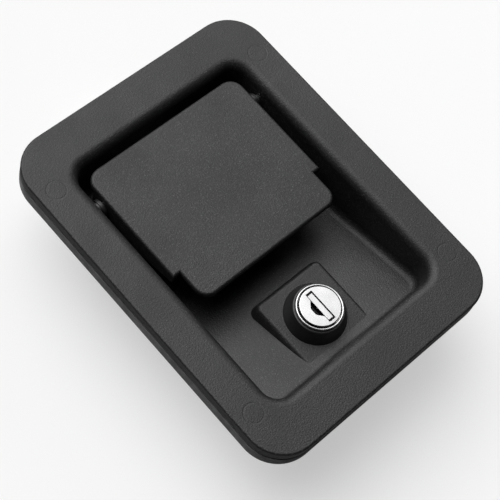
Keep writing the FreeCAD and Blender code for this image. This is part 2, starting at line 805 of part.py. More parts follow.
def ring_across(label, inner, outer, start, thickness):
    """Two rings round the pivot axis, one on each side of the latch."""
    piece = Piece(label)
    disc = piece.draw("ring", "YZ_Plane")
    disc.circle("pivot_along", "-pivot_depth", outer)
    disc.circle("pivot_along", "-pivot_depth", inner)
    piece.pad("rings", disc, f"2 * ({start} + {thickness})", symmetric=True)
    gap = piece.draw("gap", "YZ_Plane")
    gap.circle("pivot_along", "-pivot_depth", f"{outer} + spare")
    piece.pocket("between", gap, f"2 * {start}", symmetric=True)
    return piece


def pivot_pin():
    """The hinge pin through both walls, grooved for a clip at each end."""
    piece = Piece("pivot_pin")
    rod = piece.draw("rod", "YZ_Plane")
    rod.circle("pivot_along", "-pivot_depth", "pin_diameter")
    piece.pad("shank", rod, "2 * (pivot_boss_reach + pin_overhang)", symmetric=True)
    for side, name in (("1", "right"), ("-1", "left")):
        place = f"{side} * (pivot_boss_reach + clip_play + clip_thickness / 2)"
        groove = piece.draw(f"groove_{name}", "YZ_Plane", place)
        groove.circle("pivot_along", "-pivot_depth", "clip_diameter")
        groove.circle("pivot_along", "-pivot_depth", "pin_diameter - 2 * clip_groove")
        piece.pocket(f"clip_groove_{name}", groove, "clip_thickness + clip_play", symmetric=True)
    return piece


def pivot_clips():
    """A retaining ring in each groove of the pin, open on one side."""
    piece = ring_across(
        "pivot_clips",
        "(pin_diameter - 2 * clip_groove + clip_play)",
        "clip_diameter",
        "(pivot_boss_reach + 1.5 * clip_play)",
        "(clip_thickness - clip_play)",
    )
    mouth = piece.draw("mouth", "YZ_Plane")
    mouth.rectangle(
        "pivot_along - clip_mouth_share * pin_diameter / 2",
        "-(pivot_depth + clip_diameter)",
        "pivot_along + clip_mouth_share * pin_diameter / 2",
        "-pivot_depth",
    )
    piece.pocket("mouths", mouth, "flange_width", symmetric=True)
    return piece


def pivot_spacers():
    """A flanged bush each side that keeps the paddle clear of the wall."""
    start = "(paddle_width / 2 + spacer_gap)"
    bore = "pivot_bore"
    piece = ring_across("pivot_spacers", bore, "spacer_collar_diameter", start, "spacer_collar")
    reach = f"(recess_width / 2 - {start} - spacer_wall_gap)"
    for side, name, down in (("1", "right", False), ("-1", "left", True)):
        tube = piece.draw(f"tube_{name}", "YZ_Plane", f"{side} * {start}")
        tube.circle("pivot_along", "-pivot_depth", "spacer_diameter")
        tube.circle("pivot_along", "-pivot_depth", bore)
        piece.pad(f"bush_{name}", tube, reach, down=down)
    return piece


def paddle():
    """The pressed plate that is pulled, with bent-down sides and two weld studs."""
    piece = Piece("paddle")
    plan = piece.draw("plan", offset="-paddle_under")
    wide, lip = "paddle_width / 2", "lip_width / 2"
    plan.outline(
        [
            (f"-{lip}", "-lip_end", "lip_corner"),
            (lip, "-lip_end", "lip_corner"),
            (lip, "notch_along"),
            (wide, "notch_along"),
            (wide, "paddle_top", "paddle_top_corner"),
            (f"-{wide}", "paddle_top", "paddle_top_corner"),
            (f"-{wide}", "notch_along"),
            (f"-{lip}", "notch_along"),
        ]
    )
    piece.pad("plate", plan, "paddle_sheet")
    side = piece.draw("side_profile", "YZ_Plane")
    low = "-(pivot_depth + paddle_ear_margin)"
    back = "(paddle_top - paddle_top_corner)"
    side.outline(
        [
            ("notch_along", "-(paddle_depth + spare / 2)"),
            ("notch_along", "-(paddle_depth + paddle_side_drop)", "paddle_side_corner"),
            ("pivot_along - paddle_ear_run", low, "paddle_ear_bend"),
            (back, low, "paddle_ear_margin"),
            (back, "-(paddle_depth + spare / 2)"),
        ]
    )
    piece.pad("sides", side, "paddle_width", symmetric=True)
    under = piece.draw("channel", "YZ_Plane")
    under.rectangle(
        "notch_along - 1", "-recess_depth", "paddle_top", "-paddle_under"
    )
    piece.pocket("between_sides", under, "paddle_width - 2 * paddle_sheet", symmetric=True)
    pin = piece.draw("pin_holes", "YZ_Plane")
    pin.circle("pivot_along", "-pivot_depth", "pivot_bore")
    piece.pocket("pivot_holes", pin, "flange_width", symmetric=True)
    studs = piece.draw("weld_studs", offset="-(paddle_under + weld_stud_length)")
    for across in ("-weld_stud_spacing / 2", "weld_stud_spacing / 2"):
        studs.circle(across, "weld_stud_along", "weld_stud_diameter")
    piece.pad("weld_stud_pair", studs, "weld_stud_length + weld_stud_root")
    face = value("-paddle_depth")
    piece.round_edges("face_edge", "paddle_edge_round", lambda edge, faces: at_height(edge, face))
    return piece


def lever_bracket():
    """The steel angle under the paddle, whose leg goes down through the floor."""
    piece = Piece("lever_bracket")
    side = piece.draw("angle", "YZ_Plane")
    side.outline(
        [
            ("lever_front", "-paddle_under"),
            ("lever_front", "-lever_under"),
            ("leg_front", "-lever_under", "lever_bend - lever_sheet"),
            ("leg_front", "-lever_bottom"),
            ("lever_back", "-lever_bottom"),
            ("lever_back", "-paddle_under", "lever_bend"),
        ]
    )
    piece.pad("bent_strip", side, "lever_width", symmetric=True)
    holes = piece.draw("stud_holes", offset="-paddle_under")
    for across in ("-weld_stud_spacing / 2", "weld_stud_spacing / 2"):
        holes.circle(across, "weld_stud_along", "weld_stud_diameter + 2 * bolt_hole_clearance")
    piece.pocket("stud_clearance", holes, "lever_sheet", down=True)
    bolts = piece.draw("bolt_holes", "XZ_Plane", "-leg_front")
    for across in ("-hook_bolt_spacing / 2", "hook_bolt_spacing / 2"):
        bolts.circle(across, "-hook_bolt_depth", "bolt_diameter + 2 * bolt_hole_clearance")
    piece.pocket("bolt_clearance", bolts, "lever_sheet", down=True)
    front = value("lever_front")
    low = value("-lever_bottom")
    piece.round_edges("corners", "lever_corner", lambda edge, faces: at_end(edge, front, low))
    return piece


def at_end(edge, front, low):
    """Whether an edge is a square corner of the bracket's tab or of its leg."""
    box = edge.BoundBox
    upright = box.ZLength > 1 and box.XLength < TOUCH and box.YLength < TOUCH
    level = box.YLength > 1 and box.XLength < TOUCH and box.ZLength < TOUCH
    return (upright and box.YMax < front + TOUCH) or (level and box.ZMax < low + TOUCH)


def fastener_pair(label, spacing, plane, height, along, rounds):
    """Two like fasteners side by side, each a stack of round or hexagonal lengths.

    rounds holds (start, length, kind, size) from one end of the fastener to the other,
    measured along the plane's normal from its origin.
    """
    piece = Piece(label)
    for number, (start, length, kind, size) in enumerate(rounds):
        drawing = piece.draw(f"section_{number}", plane, start)
        for across in (f"-{spacing} / 2", f"{spacing} / 2"):
            middle = height if plane == "XZ_Plane" else along
            getattr(drawing, kind)(across, middle, size)
        piece.pad(f"length_{number}", drawing, length)
    return piece


def pierce_pair(piece, spacing, plane, middle, diameter):
    """Bores a pair of rings right through."""
    hole = piece.draw("bore", plane)
    for across in (f"-{spacing} / 2", f"{spacing} / 2"):
        hole.circle(across, middle, diameter)
    piece.pocket("bores", hole, "2 * flange_length", symmetric=True)
    return piece


def bracket_washers():
    """Washers under the nuts that hold the bracket to the paddle."""
    start = "-(lever_under + washer_thickness)"
    rounds = [(start, "washer_thickness", "circle", "washer_diameter")]
    piece = fastener_pair(
        "bracket_washers", "weld_stud_spacing", "XY_Plane", "0", "weld_stud_along", rounds
    )
    bore = "weld_stud_diameter + washer_play"
    return pierce_pair(piece, "weld_stud_spacing", "XY_Plane", "weld_stud_along", bore)


def bracket_nuts():
    """Nuts on the paddle's weld studs."""
    start = "-(lever_under + washer_thickness + nut_thickness)"
    rounds = [(start, "nut_thickness", "hexagon", "bolt_flats")]
    piece = fastener_pair(
        "bracket_nuts", "weld_stud_spacing", "XY_Plane", "0", "weld_stud_along", rounds
    )
    bore = "weld_stud_diameter + thread_play"
    return pierce_pair(piece, "weld_stud_spacing", "XY_Plane", "weld_stud_along", bore)


def latch_hook():
    """The adjustable arm: slotted flange on the lever's leg, plate and roller ears."""
    piece = Piece("latch_hook")
    back = "hook_back"
    upper = "-(hook_bottom - lever_sheet)"
    tail = "(roller_along - roller_diameter / 2 - roller_end_clearance)"
    side = piece.draw("arm_profile", "YZ_Plane")
    side.outline(
        [
            ("lever_back", "-hook_top"),
            ("lever_back", "-hook_bottom", "lever_bend"),
            (f"{tail} + ear_overlap", "-hook_bottom"),
            (f"{tail} + ear_overlap", upper),
            (back, upper, "lever_bend - lever_sheet"),
            (back, "-hook_top"),
        ]
    )
    piece.pad("arm", side, "lever_width", symmetric=True)
    ears = piece.draw("ear_profile", "YZ_Plane")
    half = "ear_height / 2"
    tip = f"(roller_along + {half})"
    ears.outline(
        [
            ("roller_along - ear_root", f"-(roller_depth + {half})", "ear_corner"),
            (tip, f"-(roller_depth + {half})", "ear_round_share * ear_height / 2"),
            (tip, f"-(roller_depth - {half})", "ear_round_share * ear_height / 2"),
            ("roller_along - ear_root", f"-(roller_depth - {half})", "ear_corner"),
        ]
    )
    piece.pad("ears", ears, "lever_width", symmetric=True)
    gap = piece.draw("roller_gap")
    half_gap = "roller_gap / 2"
    gap.rectangle(f"-{half_gap}", tail, half_gap, f"{tip} + ear_overlap")
    piece.pocket("fork", gap, "4 * recess_depth", symmetric=True)
    pin = piece.draw("pin_bore", "YZ_Plane")
    pin.circle("roller_along", "-roller_depth", "pin_diameter + thread_play")
    piece.pocket("pin_holes", pin, "flange_width", symmetric=True)
    slots = piece.draw("bolt_slots", "XZ_Plane", f"-{back}")
    low = "-(hook_bolt_depth + hook_slot_travel)"
    for across in ("-hook_bolt_spacing / 2", "hook_bolt_spacing / 2"):
        high = "-(hook_bolt_depth - hook_slot_above)"
        slots.slot(across, low, high, "bolt_diameter / 2 + bolt_hole_clearance")
    piece.pocket("adjusting_slots", slots, "lever_sheet")
    top = value("-hook_top")
    piece.round_edges(
        "top_corners",
        "lever_corner",
        lambda edge, faces: at_height(edge, top) and edge.BoundBox.XLength < TOUCH,
    )
    return piece


def hook_bolts():
    """Two bolts that clamp the hook to the lever's leg."""
    head = "-(hook_back + bolt_head)"
    shank = "leg_front - washer_thickness - nut_thickness - bolt_end_margin"
    rounds = [
        (head, "bolt_head", "hexagon", "bolt_flats"),
        (
            "-hook_back",
            f"hook_back - ({shank})",
            "circle",
            "bolt_diameter",
        ),
    ]
    return fastener_pair(
        "hook_bolts", "hook_bolt_spacing", "XZ_Plane", "-hook_bolt_depth", "0", rounds
    )


def hook_washers():
    """Washers between the lever's leg and the nuts."""
    rounds = [("-leg_front", "washer_thickness", "circle", "washer_diameter")]
    piece = fastener_pair(
        "hook_washers", "hook_bolt_spacing", "XZ_Plane", "-hook_bolt_depth", "0", rounds
    )
    bore = "bolt_diameter + washer_play"
    return pierce_pair(piece, "hook_bolt_spacing", "XZ_Plane", "-hook_bolt_depth", bore)


def hook_nuts():
    """Nuts on the hook's bolts."""
    start = "-(leg_front - washer_thickness)"
    rounds = [(start, "nut_thickness", "hexagon", "bolt_flats")]
    piece = fastener_pair(
        "hook_nuts", "hook_bolt_spacing", "XZ_Plane", "-hook_bolt_depth", "0", rounds
    )
    bore = "bolt_diameter + thread_play"
    return pierce_pair(piece, "hook_bolt_spacing", "XZ_Plane", "-hook_bolt_depth", bore)


def roller_pin():
    """The rivet that the roller turns on."""
    piece = Piece("roller_pin")
    rod = piece.draw("rod", "YZ_Plane")
    rod.circle("roller_along", "-roller_depth", "pin_diameter")
    piece.pad("shank", rod, "2 * (lever_width / 2 + 0.5 * rivet_head)", symmetric=True)
    for side, name, down in (("1", "right", False), ("-1", "left", True)):
        head = piece.draw(f"head_{name}", "YZ_Plane", f"{side} * lever_width / 2")
        head.circle("roller_along", "-roller_depth", "rivet_head_diameter")
        piece.pad(f"rivet_head_{name}", head, "rivet_head", down=down)
    outer = value("lever_width / 2 + rivet_head")
    dome = "rivet_dome_share * rivet_head"
    piece.round_edges("domes", dome, lambda edge, faces: beyond(edge, outer))
    return piece


def beyond(edge, reach):
    """Whether an edge lies in an end face, at a reach on either side of the middle."""
    box = edge.BoundBox
    return box.XLength < TOUCH and abs(abs(box.XMin) - reach) < TOUCH


def tip_roller():
    """The nylon roller that bears on the door frame."""
    piece = Piece("tip_roller")
    disc = piece.draw("disc", "YZ_Plane")
    disc.circle("roller_along", "-roller_depth", "roller_diameter")
    disc.circle("roller_along", "-roller_depth", "pivot_bore")
    piece.pad("roller", disc, "roller_width", symmetric=True)
    half = value("roller_width / 2")
    rim = value("roller_diameter")
    piece.round_edges(
        "rims",
        "roller_round",
        lambda edge, faces: beyond(edge, half) and edge.BoundBox.ZLength > rim - TOUCH,
    )
    return piece


def torsion_springs():
    """Plain sleeves for the two coils, with a leg under the paddle and one on the floor."""
    outer = "(spring_inner_diameter + 2 * spring_wire)"
    piece = ring_across(
        "torsion_springs", "spring_inner_diameter", outer, "spring_start", "spring_length"
    )
    middle = "(spring_inner_diameter / 2 + spring_wire / 2)"
    floor = "-(recess_depth - spring_seat_clearance)"
    legs = piece.draw("floor_legs", offset=floor)
    tops = piece.draw("paddle_legs", "XZ_Plane", "-(pivot_along + spring_leg)")
    for side in ("1", "-1"):
        inside = f"{side} * (spring_start + spring_wire / 2)"
        outside = f"{side} * (spring_start + spring_length - spring_wire / 2)"
        legs.circle(inside, f"pivot_along - {middle}", "spring_leg_diameter")
        tops.circle(outside, f"-pivot_depth + {middle}", "spring_leg_diameter")
    piece.pad("lower_legs", legs, "recess_depth - spring_seat_clearance - pivot_depth")
    piece.pad("upper_legs", tops, "spring_leg")
    return piece


def lock_sleeve():
    """The black tapered collar that stands on the pad round the lock."""
    piece = Piece("lock_sleeve", along="-lock_along")
    half = piece.draw("half_section", "XZ_Plane")
    bore = "(barrel_diameter / 2 + barrel_clearance)"
    seat = "(trim_diameter / 2 + trim_clearance)"
    step = "-trim_under"
    half.outline(
        [
            (bore, "-sleeve_under"),
            ("sleeve_base_diameter / 2", "-sleeve_under"),
            ("sleeve_top_diameter / 2", "-sleeve_top_depth", "sleeve_edge_round"),
            (seat, "-sleeve_top_depth"),
            (seat, step),
            (bore, step),
        ]
    )
    return piece.revolve("collar", half, "Z_Axis")


def lock_trim_ring():
    """The bright ring seated in the sleeve's mouth."""
    piece = Piece("lock_trim_ring", along="-lock_along")
    half = piece.draw("half_section", "XZ_Plane")
    low = "-trim_under"
    half.outline(
        [
            ("trim_inner_diameter / 2", low),
            ("trim_diameter / 2", low),
            ("trim_diameter / 2", "-trim_depth", "trim_round"),
            ("trim_inner_diameter / 2", "-trim_depth", "trim_round"),
        ]
    )
    return piece.revolve("ring", half, "Z_Axis")


def lock_barrel():
    """The lock's case, clamped in the pad by the nut behind."""
    piece = Piece("lock_barrel", along="-lock_along")
    half = piece.draw("half_section", "XZ_Plane")
    top = "-(trim_under + trim_seat_gap)"
    throat = "(plug_face_diameter / 2 + plug_face_gap)"
    bore = "(plug_diameter / 2 + running_clearance)"
    step = "-(plug_shoulder + plug_shoulder_gap)"
    half.outline(
        [
            (bore, "-barrel_end_depth"),
            ("barrel_diameter / 2", "-barrel_end_depth"),
            ("barrel_diameter / 2", top),
            (throat, top),
            (throat, step),
            (bore, step),
        ]
    )
    return piece.revolve("case", half, "Z_Axis")


def lock_washer():
    """The washer under the lock's nut."""
    piece = Piece("lock_washer", along="-lock_along")
    disc = piece.draw("disc", offset="-(lock_seat_depth + lock_washer_thickness)")
    disc.circle("0", "0", "lock_washer_diameter")
    disc.circle("0", "0", "barrel_diameter + 2 * barrel_clearance")
    return piece.pad("washer", disc, "lock_washer_thickness")


def lock_nut():
    """The thin nut on the lock's barrel."""
    piece = Piece("lock_nut", along="-lock_along")
    hexagon = piece.draw("hexagon", offset="-lock_nut_under")
    hexagon.hexagon("0", "0", "lock_nut_flats")
    hexagon.circle("0", "0", "barrel_diameter + 2 * thread_play")
    return piece.pad("nut", hexagon, "lock_nut_thickness")


def lock_plug():
    """The turning plug: bright face with a shuttered key slot, and a square tail."""
    piece = Piece("lock_plug", along="-lock_along")
    half = piece.draw("half_section", "XZ_Plane")
    shoulder = "-plug_shoulder"
    half.outline(
        [
            ("0", "-crank_top"),
            ("plug_diameter / 2", "-crank_top"),
            ("plug_diameter / 2", shoulder),
            ("plug_face_diameter / 2", shoulder),
            ("plug_face_diameter / 2", "-plug_face_depth", "plug_face_round"),
            ("0", "-plug_face_depth"),
        ]
    )
    piece.revolve("body_of_plug", half, "Z_Axis")
    tail = piece.draw("tail", offset="-(crank_under - plug_tail_short)")
    tail.centred("plug_tail_square", "plug_tail_square")
    piece.pad("square_tail", tail, "crank_thickness + plug_tail_short")
    bowl = piece.draw("crescent", offset="-plug_face_depth")
    chord = "window_width / 2"
    bowl.outline(
        [
            (f"-{chord} + crescent_inset", "crescent_length / 2", "crescent_inset"),
            ("-crescent_reach", "crescent_length / 6", "crescent_bend"),
            ("-crescent_reach", "-crescent_length / 6", "crescent_bend"),
            (f"-{chord} + crescent_inset", "-crescent_length / 2", "crescent_inset"),
        ]
    )
    piece.pocket("crescent_dish", bowl, "crescent_depth", down=True, taper="-crescent_slope")
    window = piece.draw("window", offset="-plug_face_depth")
    window.centred("window_width", "window_length", "window_corner")
    piece.pocket("shutter_window", window, "shutter_width + shutter_swing_room", down=True)
    keyway = piece.draw("keyway", offset="-plug_face_depth")
    keyway.centred("keyway_width", "keyway_length", "keyway_corner")
    piece.pocket("key_slot", keyway, "key_slot_depth", down=True)
    hinge = piece.draw("shutter_hinge", "XZ_Plane")
    hinge.circle("shutter_axis", "-shutter_depth", "shutter_pin_diameter + shutter_pin_play")
    reach = "shutter_length + 2 * (shutter_pin_length + shutter_gap)"
    piece.pocket("shutter_holes", hinge, reach, symmetric=True)
    bore = piece.draw("screw_bore", offset="-crank_under")
    bore.circle("0", "0", "cam_screw_diameter")
    return piece.pocket("screw_hole", bore, "cam_screw_length + cam_screw_bore_end")


def key_shutter():
    """The little plate that closes the key slot and swings in on two pins."""
    piece = Piece("key_shutter", along="-lock_along")
    edge = piece.draw("end_view", "XZ_Plane")
    top = "-shutter_top"
    under = "-shutter_under"
    free = "-shutter_width / 2"
    hinged = "shutter_width / 2"
    edge.outline(
        [
            (free, under),
            (hinged, under, "shutter_round_share * shutter_thickness"),
            (hinged, top, "shutter_round_share * shutter_thickness"),
            (free, top),
        ]
    )
    piece.pad("leaf", edge, "shutter_length", symmetric=True)
    pins = piece.draw("pins", "XZ_Plane")
    pins.circle("shutter_axis", "-shutter_depth", "shutter_pin_diameter")
    reach = "2 * (shutter_length / 2 + shutter_pin_length)"
    return piece.pad("pin_ends", pins, reach, symmetric=True)


def lock_cam():
    """The crank on the plug's tail."""
    piece = Piece("lock_cam", along="-lock_along", turn="-crank_angle")
    hub = piece.draw("hub", offset="-crank_under")
    hub.circle("0", "0", "crank_hub_diameter")
    piece.pad("hub_disc", hub, "crank_thickness")
    bar = piece.draw("bar", offset="-crank_under")
    broad = "(crank_hub_diameter / 2 - crank_arm_inset)"
    slim = "(crank_tip_diameter / 2 - crank_arm_inset / 2)"
    bar.outline(
        [
            ("crank_arm_start", f"-{broad}"),
            ("crank_radius", f"-{slim}"),
            ("crank_radius", slim),
            ("crank_arm_start", broad),
        ]
    )
    piece.pad("arm", bar, "crank_thickness")
    tip = piece.draw("tip", offset="-crank_under")
    tip.circle("crank_radius", "0", "crank_tip_diameter")
    piece.pad("tip_disc", tip, "crank_thickness")
    square = piece.draw("square", offset="-crank_under")
    size = "(plug_tail_square + 2 * square_clearance)"
    square.outline(diamond(size))
    piece.pocket("square_hole", square, "crank_thickness")
    pin = piece.draw("pin_bore", offset="-crank_under")
    pin.circle("crank_radius", "0", "crank_pin_diameter")
    return piece.pocket("pin_hole", pin, "crank_thickness")


def diamond(size):
    """A square that stands in line with the plug's tail while the crank is turned."""
    turned = "(crank_angle * 1 deg)"
    corners = []
    for x, y in ((1, 1), (-1, 1), (-1, -1), (1, -1)):
        across = f"({x} * cos({turned}) - {y} * sin({turned})) * {size} / 2"
        along = f"({x} * sin({turned}) + {y} * cos({turned})) * {size} / 2"
        corners.append((across, along))
    return corners


def crank_pin():
    """The pin in the crank's tip that pushes the lock plate."""
    piece = Piece("crank_pin", along="-lock_along", turn="-crank_angle")
    rod = piece.draw("rod", offset="-(plate_under + crank_pin_reach)")
    rod.circle("crank_radius", "0", "crank_pin_diameter")
    return piece.pad("pin", rod, "plate_under + crank_pin_reach - crank_top")


def cam_washer():
    """The washer under the screw that holds the crank."""
    piece = Piece("cam_washer", along="-lock_along")
    disc = piece.draw("disc", offset="-(crank_under + cam_washer_thickness)")
    disc.circle("0", "0", "cam_washer_diameter")
    disc.circle("0", "0", "cam_screw_diameter + washer_play")
    return piece.pad("washer", disc, "cam_washer_thickness")


def cam_screw():
    """The screw in the plug's tail."""
    piece = Piece("cam_screw", along="-lock_along")
    under = "(crank_under + cam_washer_thickness)"
    head = piece.draw("head", offset=f"-({under} + cam_screw_head)")
    head.hexagon("0", "0", "cam_screw_flats")
    piece.pad("hexagon_head", head, "cam_screw_head")
    shank = piece.draw("shank", offset=f"-{under}")
    shank.circle("0", "0", "cam_screw_diameter")
    return piece.pad("thread", shank, "cam_washer_thickness + cam_screw_length")


def lock_plate():
    """The sliding plate whose bar stands in front of the lever's leg when locked."""
    piece = Piece("lock_plate")
    outer = "plate_width / 2"
    arm_end = "-(fork_along + fork_gap + plate_arm_margin)"
    plan = piece.draw("plan", offset="-plate_under")
    plan.outline(
        [
            ("plate_arm_inner", arm_end, "plate_arm_corner"),
            ("plate_arm_outer", arm_end, "plate_corner"),
            ("plate_arm_outer", "-plate_front", "plate_corner"),
            (outer, "-plate_front", "plate_corner"),
            (outer, "plate_back", "plate_corner"),
            (f"-{outer}", "plate_back", "plate_corner"),
            (f"-{outer}", "-plate_front", "plate_corner"),
            ("plate_arm_inner", "-plate_front", "plate_corner"),
        ]
    )
    piece.pad("sheet", plan, "plate_sheet")
    window = piece.draw("window", offset="-plate_under")
    half = "plate_window_width / 2"
    window.rectangle(f"-{half}", "plate_window_front", half, "plate_bar_front", "plate_corner")
    piece.pocket("lever_window", window, "plate_sheet")
    relief = piece.draw("relief", offset="-plate_under")
    half = "(cam_screw_flats / sqrt(3) + plate_relief_side)"
    end = "plate_relief_length - plate_front"
    relief.rectangle(f"-{half}", "-plate_front - plate_corner", half, end, "plate_corner")
    piece.pocket("cam_screw_relief", relief, "plate_sheet")
    fork = piece.draw("fork", offset="-plate_under")
    near, far = "fork_gap - fork_along", "-fork_gap - fork_along"
    fork.rectangle("plate_arm_inner - fork_gap", far, "fork_reach", near, "fork_corner")
    piece.pocket("crank_fork", fork, "plate_sheet")
    slots = piece.draw("slots", offset="-plate_under")
    for across in ("-guide_spacing / 2", "guide_spacing / 2"):
        slots.slot(
            across,
            "-guide_along - plate_travel",
            "-guide_along",
            "guide_shoulder_diameter / 2 + guide_slot_clearance",
        )
    return piece.pocket("guide_slots", slots, "plate_sheet")


def guide_screws():
    """Shoulder screws that carry the lock plate on the two bosses."""
    boss = "guide_seat"
    shoulder = "(plate_sheet + 2 * guide_play)"
    rounds = [
        (f"-({boss} + {shoulder} + guide_head)", "guide_head", "circle", "guide_head_diameter"),
        (f"-({boss} + {shoulder})", shoulder, "circle", "guide_shoulder_diameter"),
        (f"-{boss}", "guide_thread_length", "circle", "guide_thread_diameter"),
    ]
    return fastener_pair(
        "guide_screws", "guide_spacing", "XY_Plane", "0", "-guide_along", rounds
    )


MAKERS = (
    housing,
    flange_gasket,
    mounting_studs,
    pivot_pin,
    pivot_clips,
    pivot_spacers,
    paddle,
    lever_bracket,
    bracket_washers,
    bracket_nuts,
    latch_hook,
    hook_bolts,
    hook_washers,
    hook_nuts,
    roller_pin,
    tip_roller,
    torsion_springs,
    lock_sleeve,
    lock_trim_ring,
    lock_barrel,
    lock_washer,
    lock_nut,
    lock_plug,
    key_shutter,
    lock_cam,
    crank_pin,
    cam_washer,
    cam_screw,
    lock_plate,
    guide_screws,
)


def check(pieces):
    """Stops if any feature failed or any piece has no valid shape."""
    doc.recompute()
    for item in doc.Objects:
        if "Invalid" in item.State or "Error" in item.State:
            raise RuntimeError(f"{item.Label} did not build")
    for piece in pieces:
        shape = piece.body.Shape
        if shape.isNull() or not shape.isValid() or not shape.Solids:
            raise RuntimeError(f"{piece.body.Label} has no valid solid")


def main():
    pieces = [make() for make in MAKERS]
    check(pieces)
    os.makedirs("parts", exist_ok=True)
    for piece in pieces:
        label = piece.body.Label
        piece.body.Shape.exportStep(f"parts/{label}.step")
        print(f"{label}: {len(piece.body.Shape.Solids)} solid(s)")


main()
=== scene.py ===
"""Finish of a flush paddle latch: textured black dish and paddle, rubber seal, bright key lock."""

import json
import logging
import math
from dataclasses import dataclass, field
from enum import Enum

import bmesh
import bpy
import numpy as np
from mathutils import Matrix, Vector
from mathutils.geometry import tessellate_polygon


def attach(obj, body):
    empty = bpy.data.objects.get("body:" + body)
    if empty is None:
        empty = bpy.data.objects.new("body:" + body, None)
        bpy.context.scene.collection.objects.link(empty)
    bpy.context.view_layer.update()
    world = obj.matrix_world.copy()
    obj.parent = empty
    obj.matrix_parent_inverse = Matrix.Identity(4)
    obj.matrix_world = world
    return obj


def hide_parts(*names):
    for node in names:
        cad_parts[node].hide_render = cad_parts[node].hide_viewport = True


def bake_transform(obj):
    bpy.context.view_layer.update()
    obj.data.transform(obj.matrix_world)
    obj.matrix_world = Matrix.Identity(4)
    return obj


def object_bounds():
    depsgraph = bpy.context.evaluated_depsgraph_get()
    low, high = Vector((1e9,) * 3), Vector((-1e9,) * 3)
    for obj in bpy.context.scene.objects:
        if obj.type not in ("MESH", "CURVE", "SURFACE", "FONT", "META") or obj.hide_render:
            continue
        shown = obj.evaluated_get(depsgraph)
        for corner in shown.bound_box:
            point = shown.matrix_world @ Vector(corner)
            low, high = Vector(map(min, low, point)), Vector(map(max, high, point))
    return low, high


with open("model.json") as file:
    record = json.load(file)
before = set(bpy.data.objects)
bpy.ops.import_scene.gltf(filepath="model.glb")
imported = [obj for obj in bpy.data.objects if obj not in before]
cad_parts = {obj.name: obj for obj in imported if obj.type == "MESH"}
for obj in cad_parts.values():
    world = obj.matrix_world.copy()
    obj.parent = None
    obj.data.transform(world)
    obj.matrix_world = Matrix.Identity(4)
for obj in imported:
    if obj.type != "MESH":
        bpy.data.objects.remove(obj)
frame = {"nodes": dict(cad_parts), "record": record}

log = logging.getLogger("paddle_latch")

CAD_BOX = [[float(v) for v in corner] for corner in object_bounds()]

MM = 0.001
# Corners nearer to each other than this, in metres, are welded.
WELD = 1e-6
# Triangles with less than half this area, in square millimetres, are left out.
SLIVER = 1e-9
# The middle part of a noise's values, where nearly all of them lie.
MASK_RANGE = (0.3, 0.7)
# Points round a threaded shank.
THREAD_POINTS = 28


class Side(Enum):
    """The two sides of the latch, seen from the front with the hinge end up."""

    LEFT = -1
    RIGHT = 1


class Axis(Enum):
    """The way a turned part's own axis points in the latch."""

    ALONG = "y"
    OUT = "z"


@dataclass
class Sheet:
    """A surface given on a grid of points, ready to become faces.

    Attributes:
        points: Array of shape (rows, columns, 3) in millimetres.
        loop_rows: Whether the last row joins the first.
        loop_columns: Whether the last column joins the first.
        cap_first: Whether the first row is closed by a flat face.
        cap_last: Whether the last row is closed by a flat face.
    """

    points: np.ndarray
    loop_rows: bool = False
    loop_columns: bool = True
    cap_first: bool = False
    cap_last: bool = False

    def quads(self) -> np.ndarray:
        """Indices of the four corners of every cell of the grid.

        Returns:
            Array of shape (cells, 4).
        """
        rows, columns = self.points.shape[:2]
        i = np.arange(rows if self.loop_rows else rows - 1)[:, None]
        j = np.arange(columns if self.loop_columns else columns - 1)[None, :]
        below, beside = (i + 1) % rows, (j + 1) % columns
        corners = (i * columns + j, i * columns + beside, below * columns + beside)
        return np.stack([*corners, below * columns + j], axis=-1).reshape(-1, 4)

    def caps(self) -> list[np.ndarray]:
        """Indices of the rings that a flat face closes.

        Returns:
            One array for each cap, in the order that faces it outwards.
        """
        rows, columns = self.points.shape[:2]
        found = []
        if self.cap_first:
            found.append(np.arange(columns)[::-1])
        if self.cap_last:
            found.append((rows - 1) * columns + np.arange(columns))
        return found


@dataclass
class Plate:
    """A flat face with holes, at one height.

    Attributes:
        loops: Arrays of shape (points, 2) in millimetres, the first is the outside.
        height: Height of the face in millimetres.
        up: Whether it faces up.
    """

    loops: list[np.ndarray]
    height: float
    up: bool

    def points(self) -> np.ndarray:
        """The corners of the face.

        Returns:
            Array of shape (points, 3).
        """
        flat = np.concatenate(self.loops)
        return np.column_stack([flat, np.full(len(flat), self.height)])

    def triangles(self) -> np.ndarray:
        """Fills the face between its loops with triangles that face its way.

        Returns:
            Array of shape (triangles, 3) of indices into the points.
        """
        flat = np.concatenate(self.loops)
        cells = np.array(tessellate_polygon([loop.tolist() for loop in self.loops]))
        a, b, c = (flat[cells[:, i]] for i in range(3))
        area = (b[:, 0] - a[:, 0]) * (c[:, 1] - a[:, 1])
        area -= (b[:, 1] - a[:, 1]) * (c[:, 0] - a[:, 0])
        wrong = (area > 0) != self.up
        cells[wrong] = cells[wrong][:, ::-1]
        return cells[np.abs(area) > SLIVER]


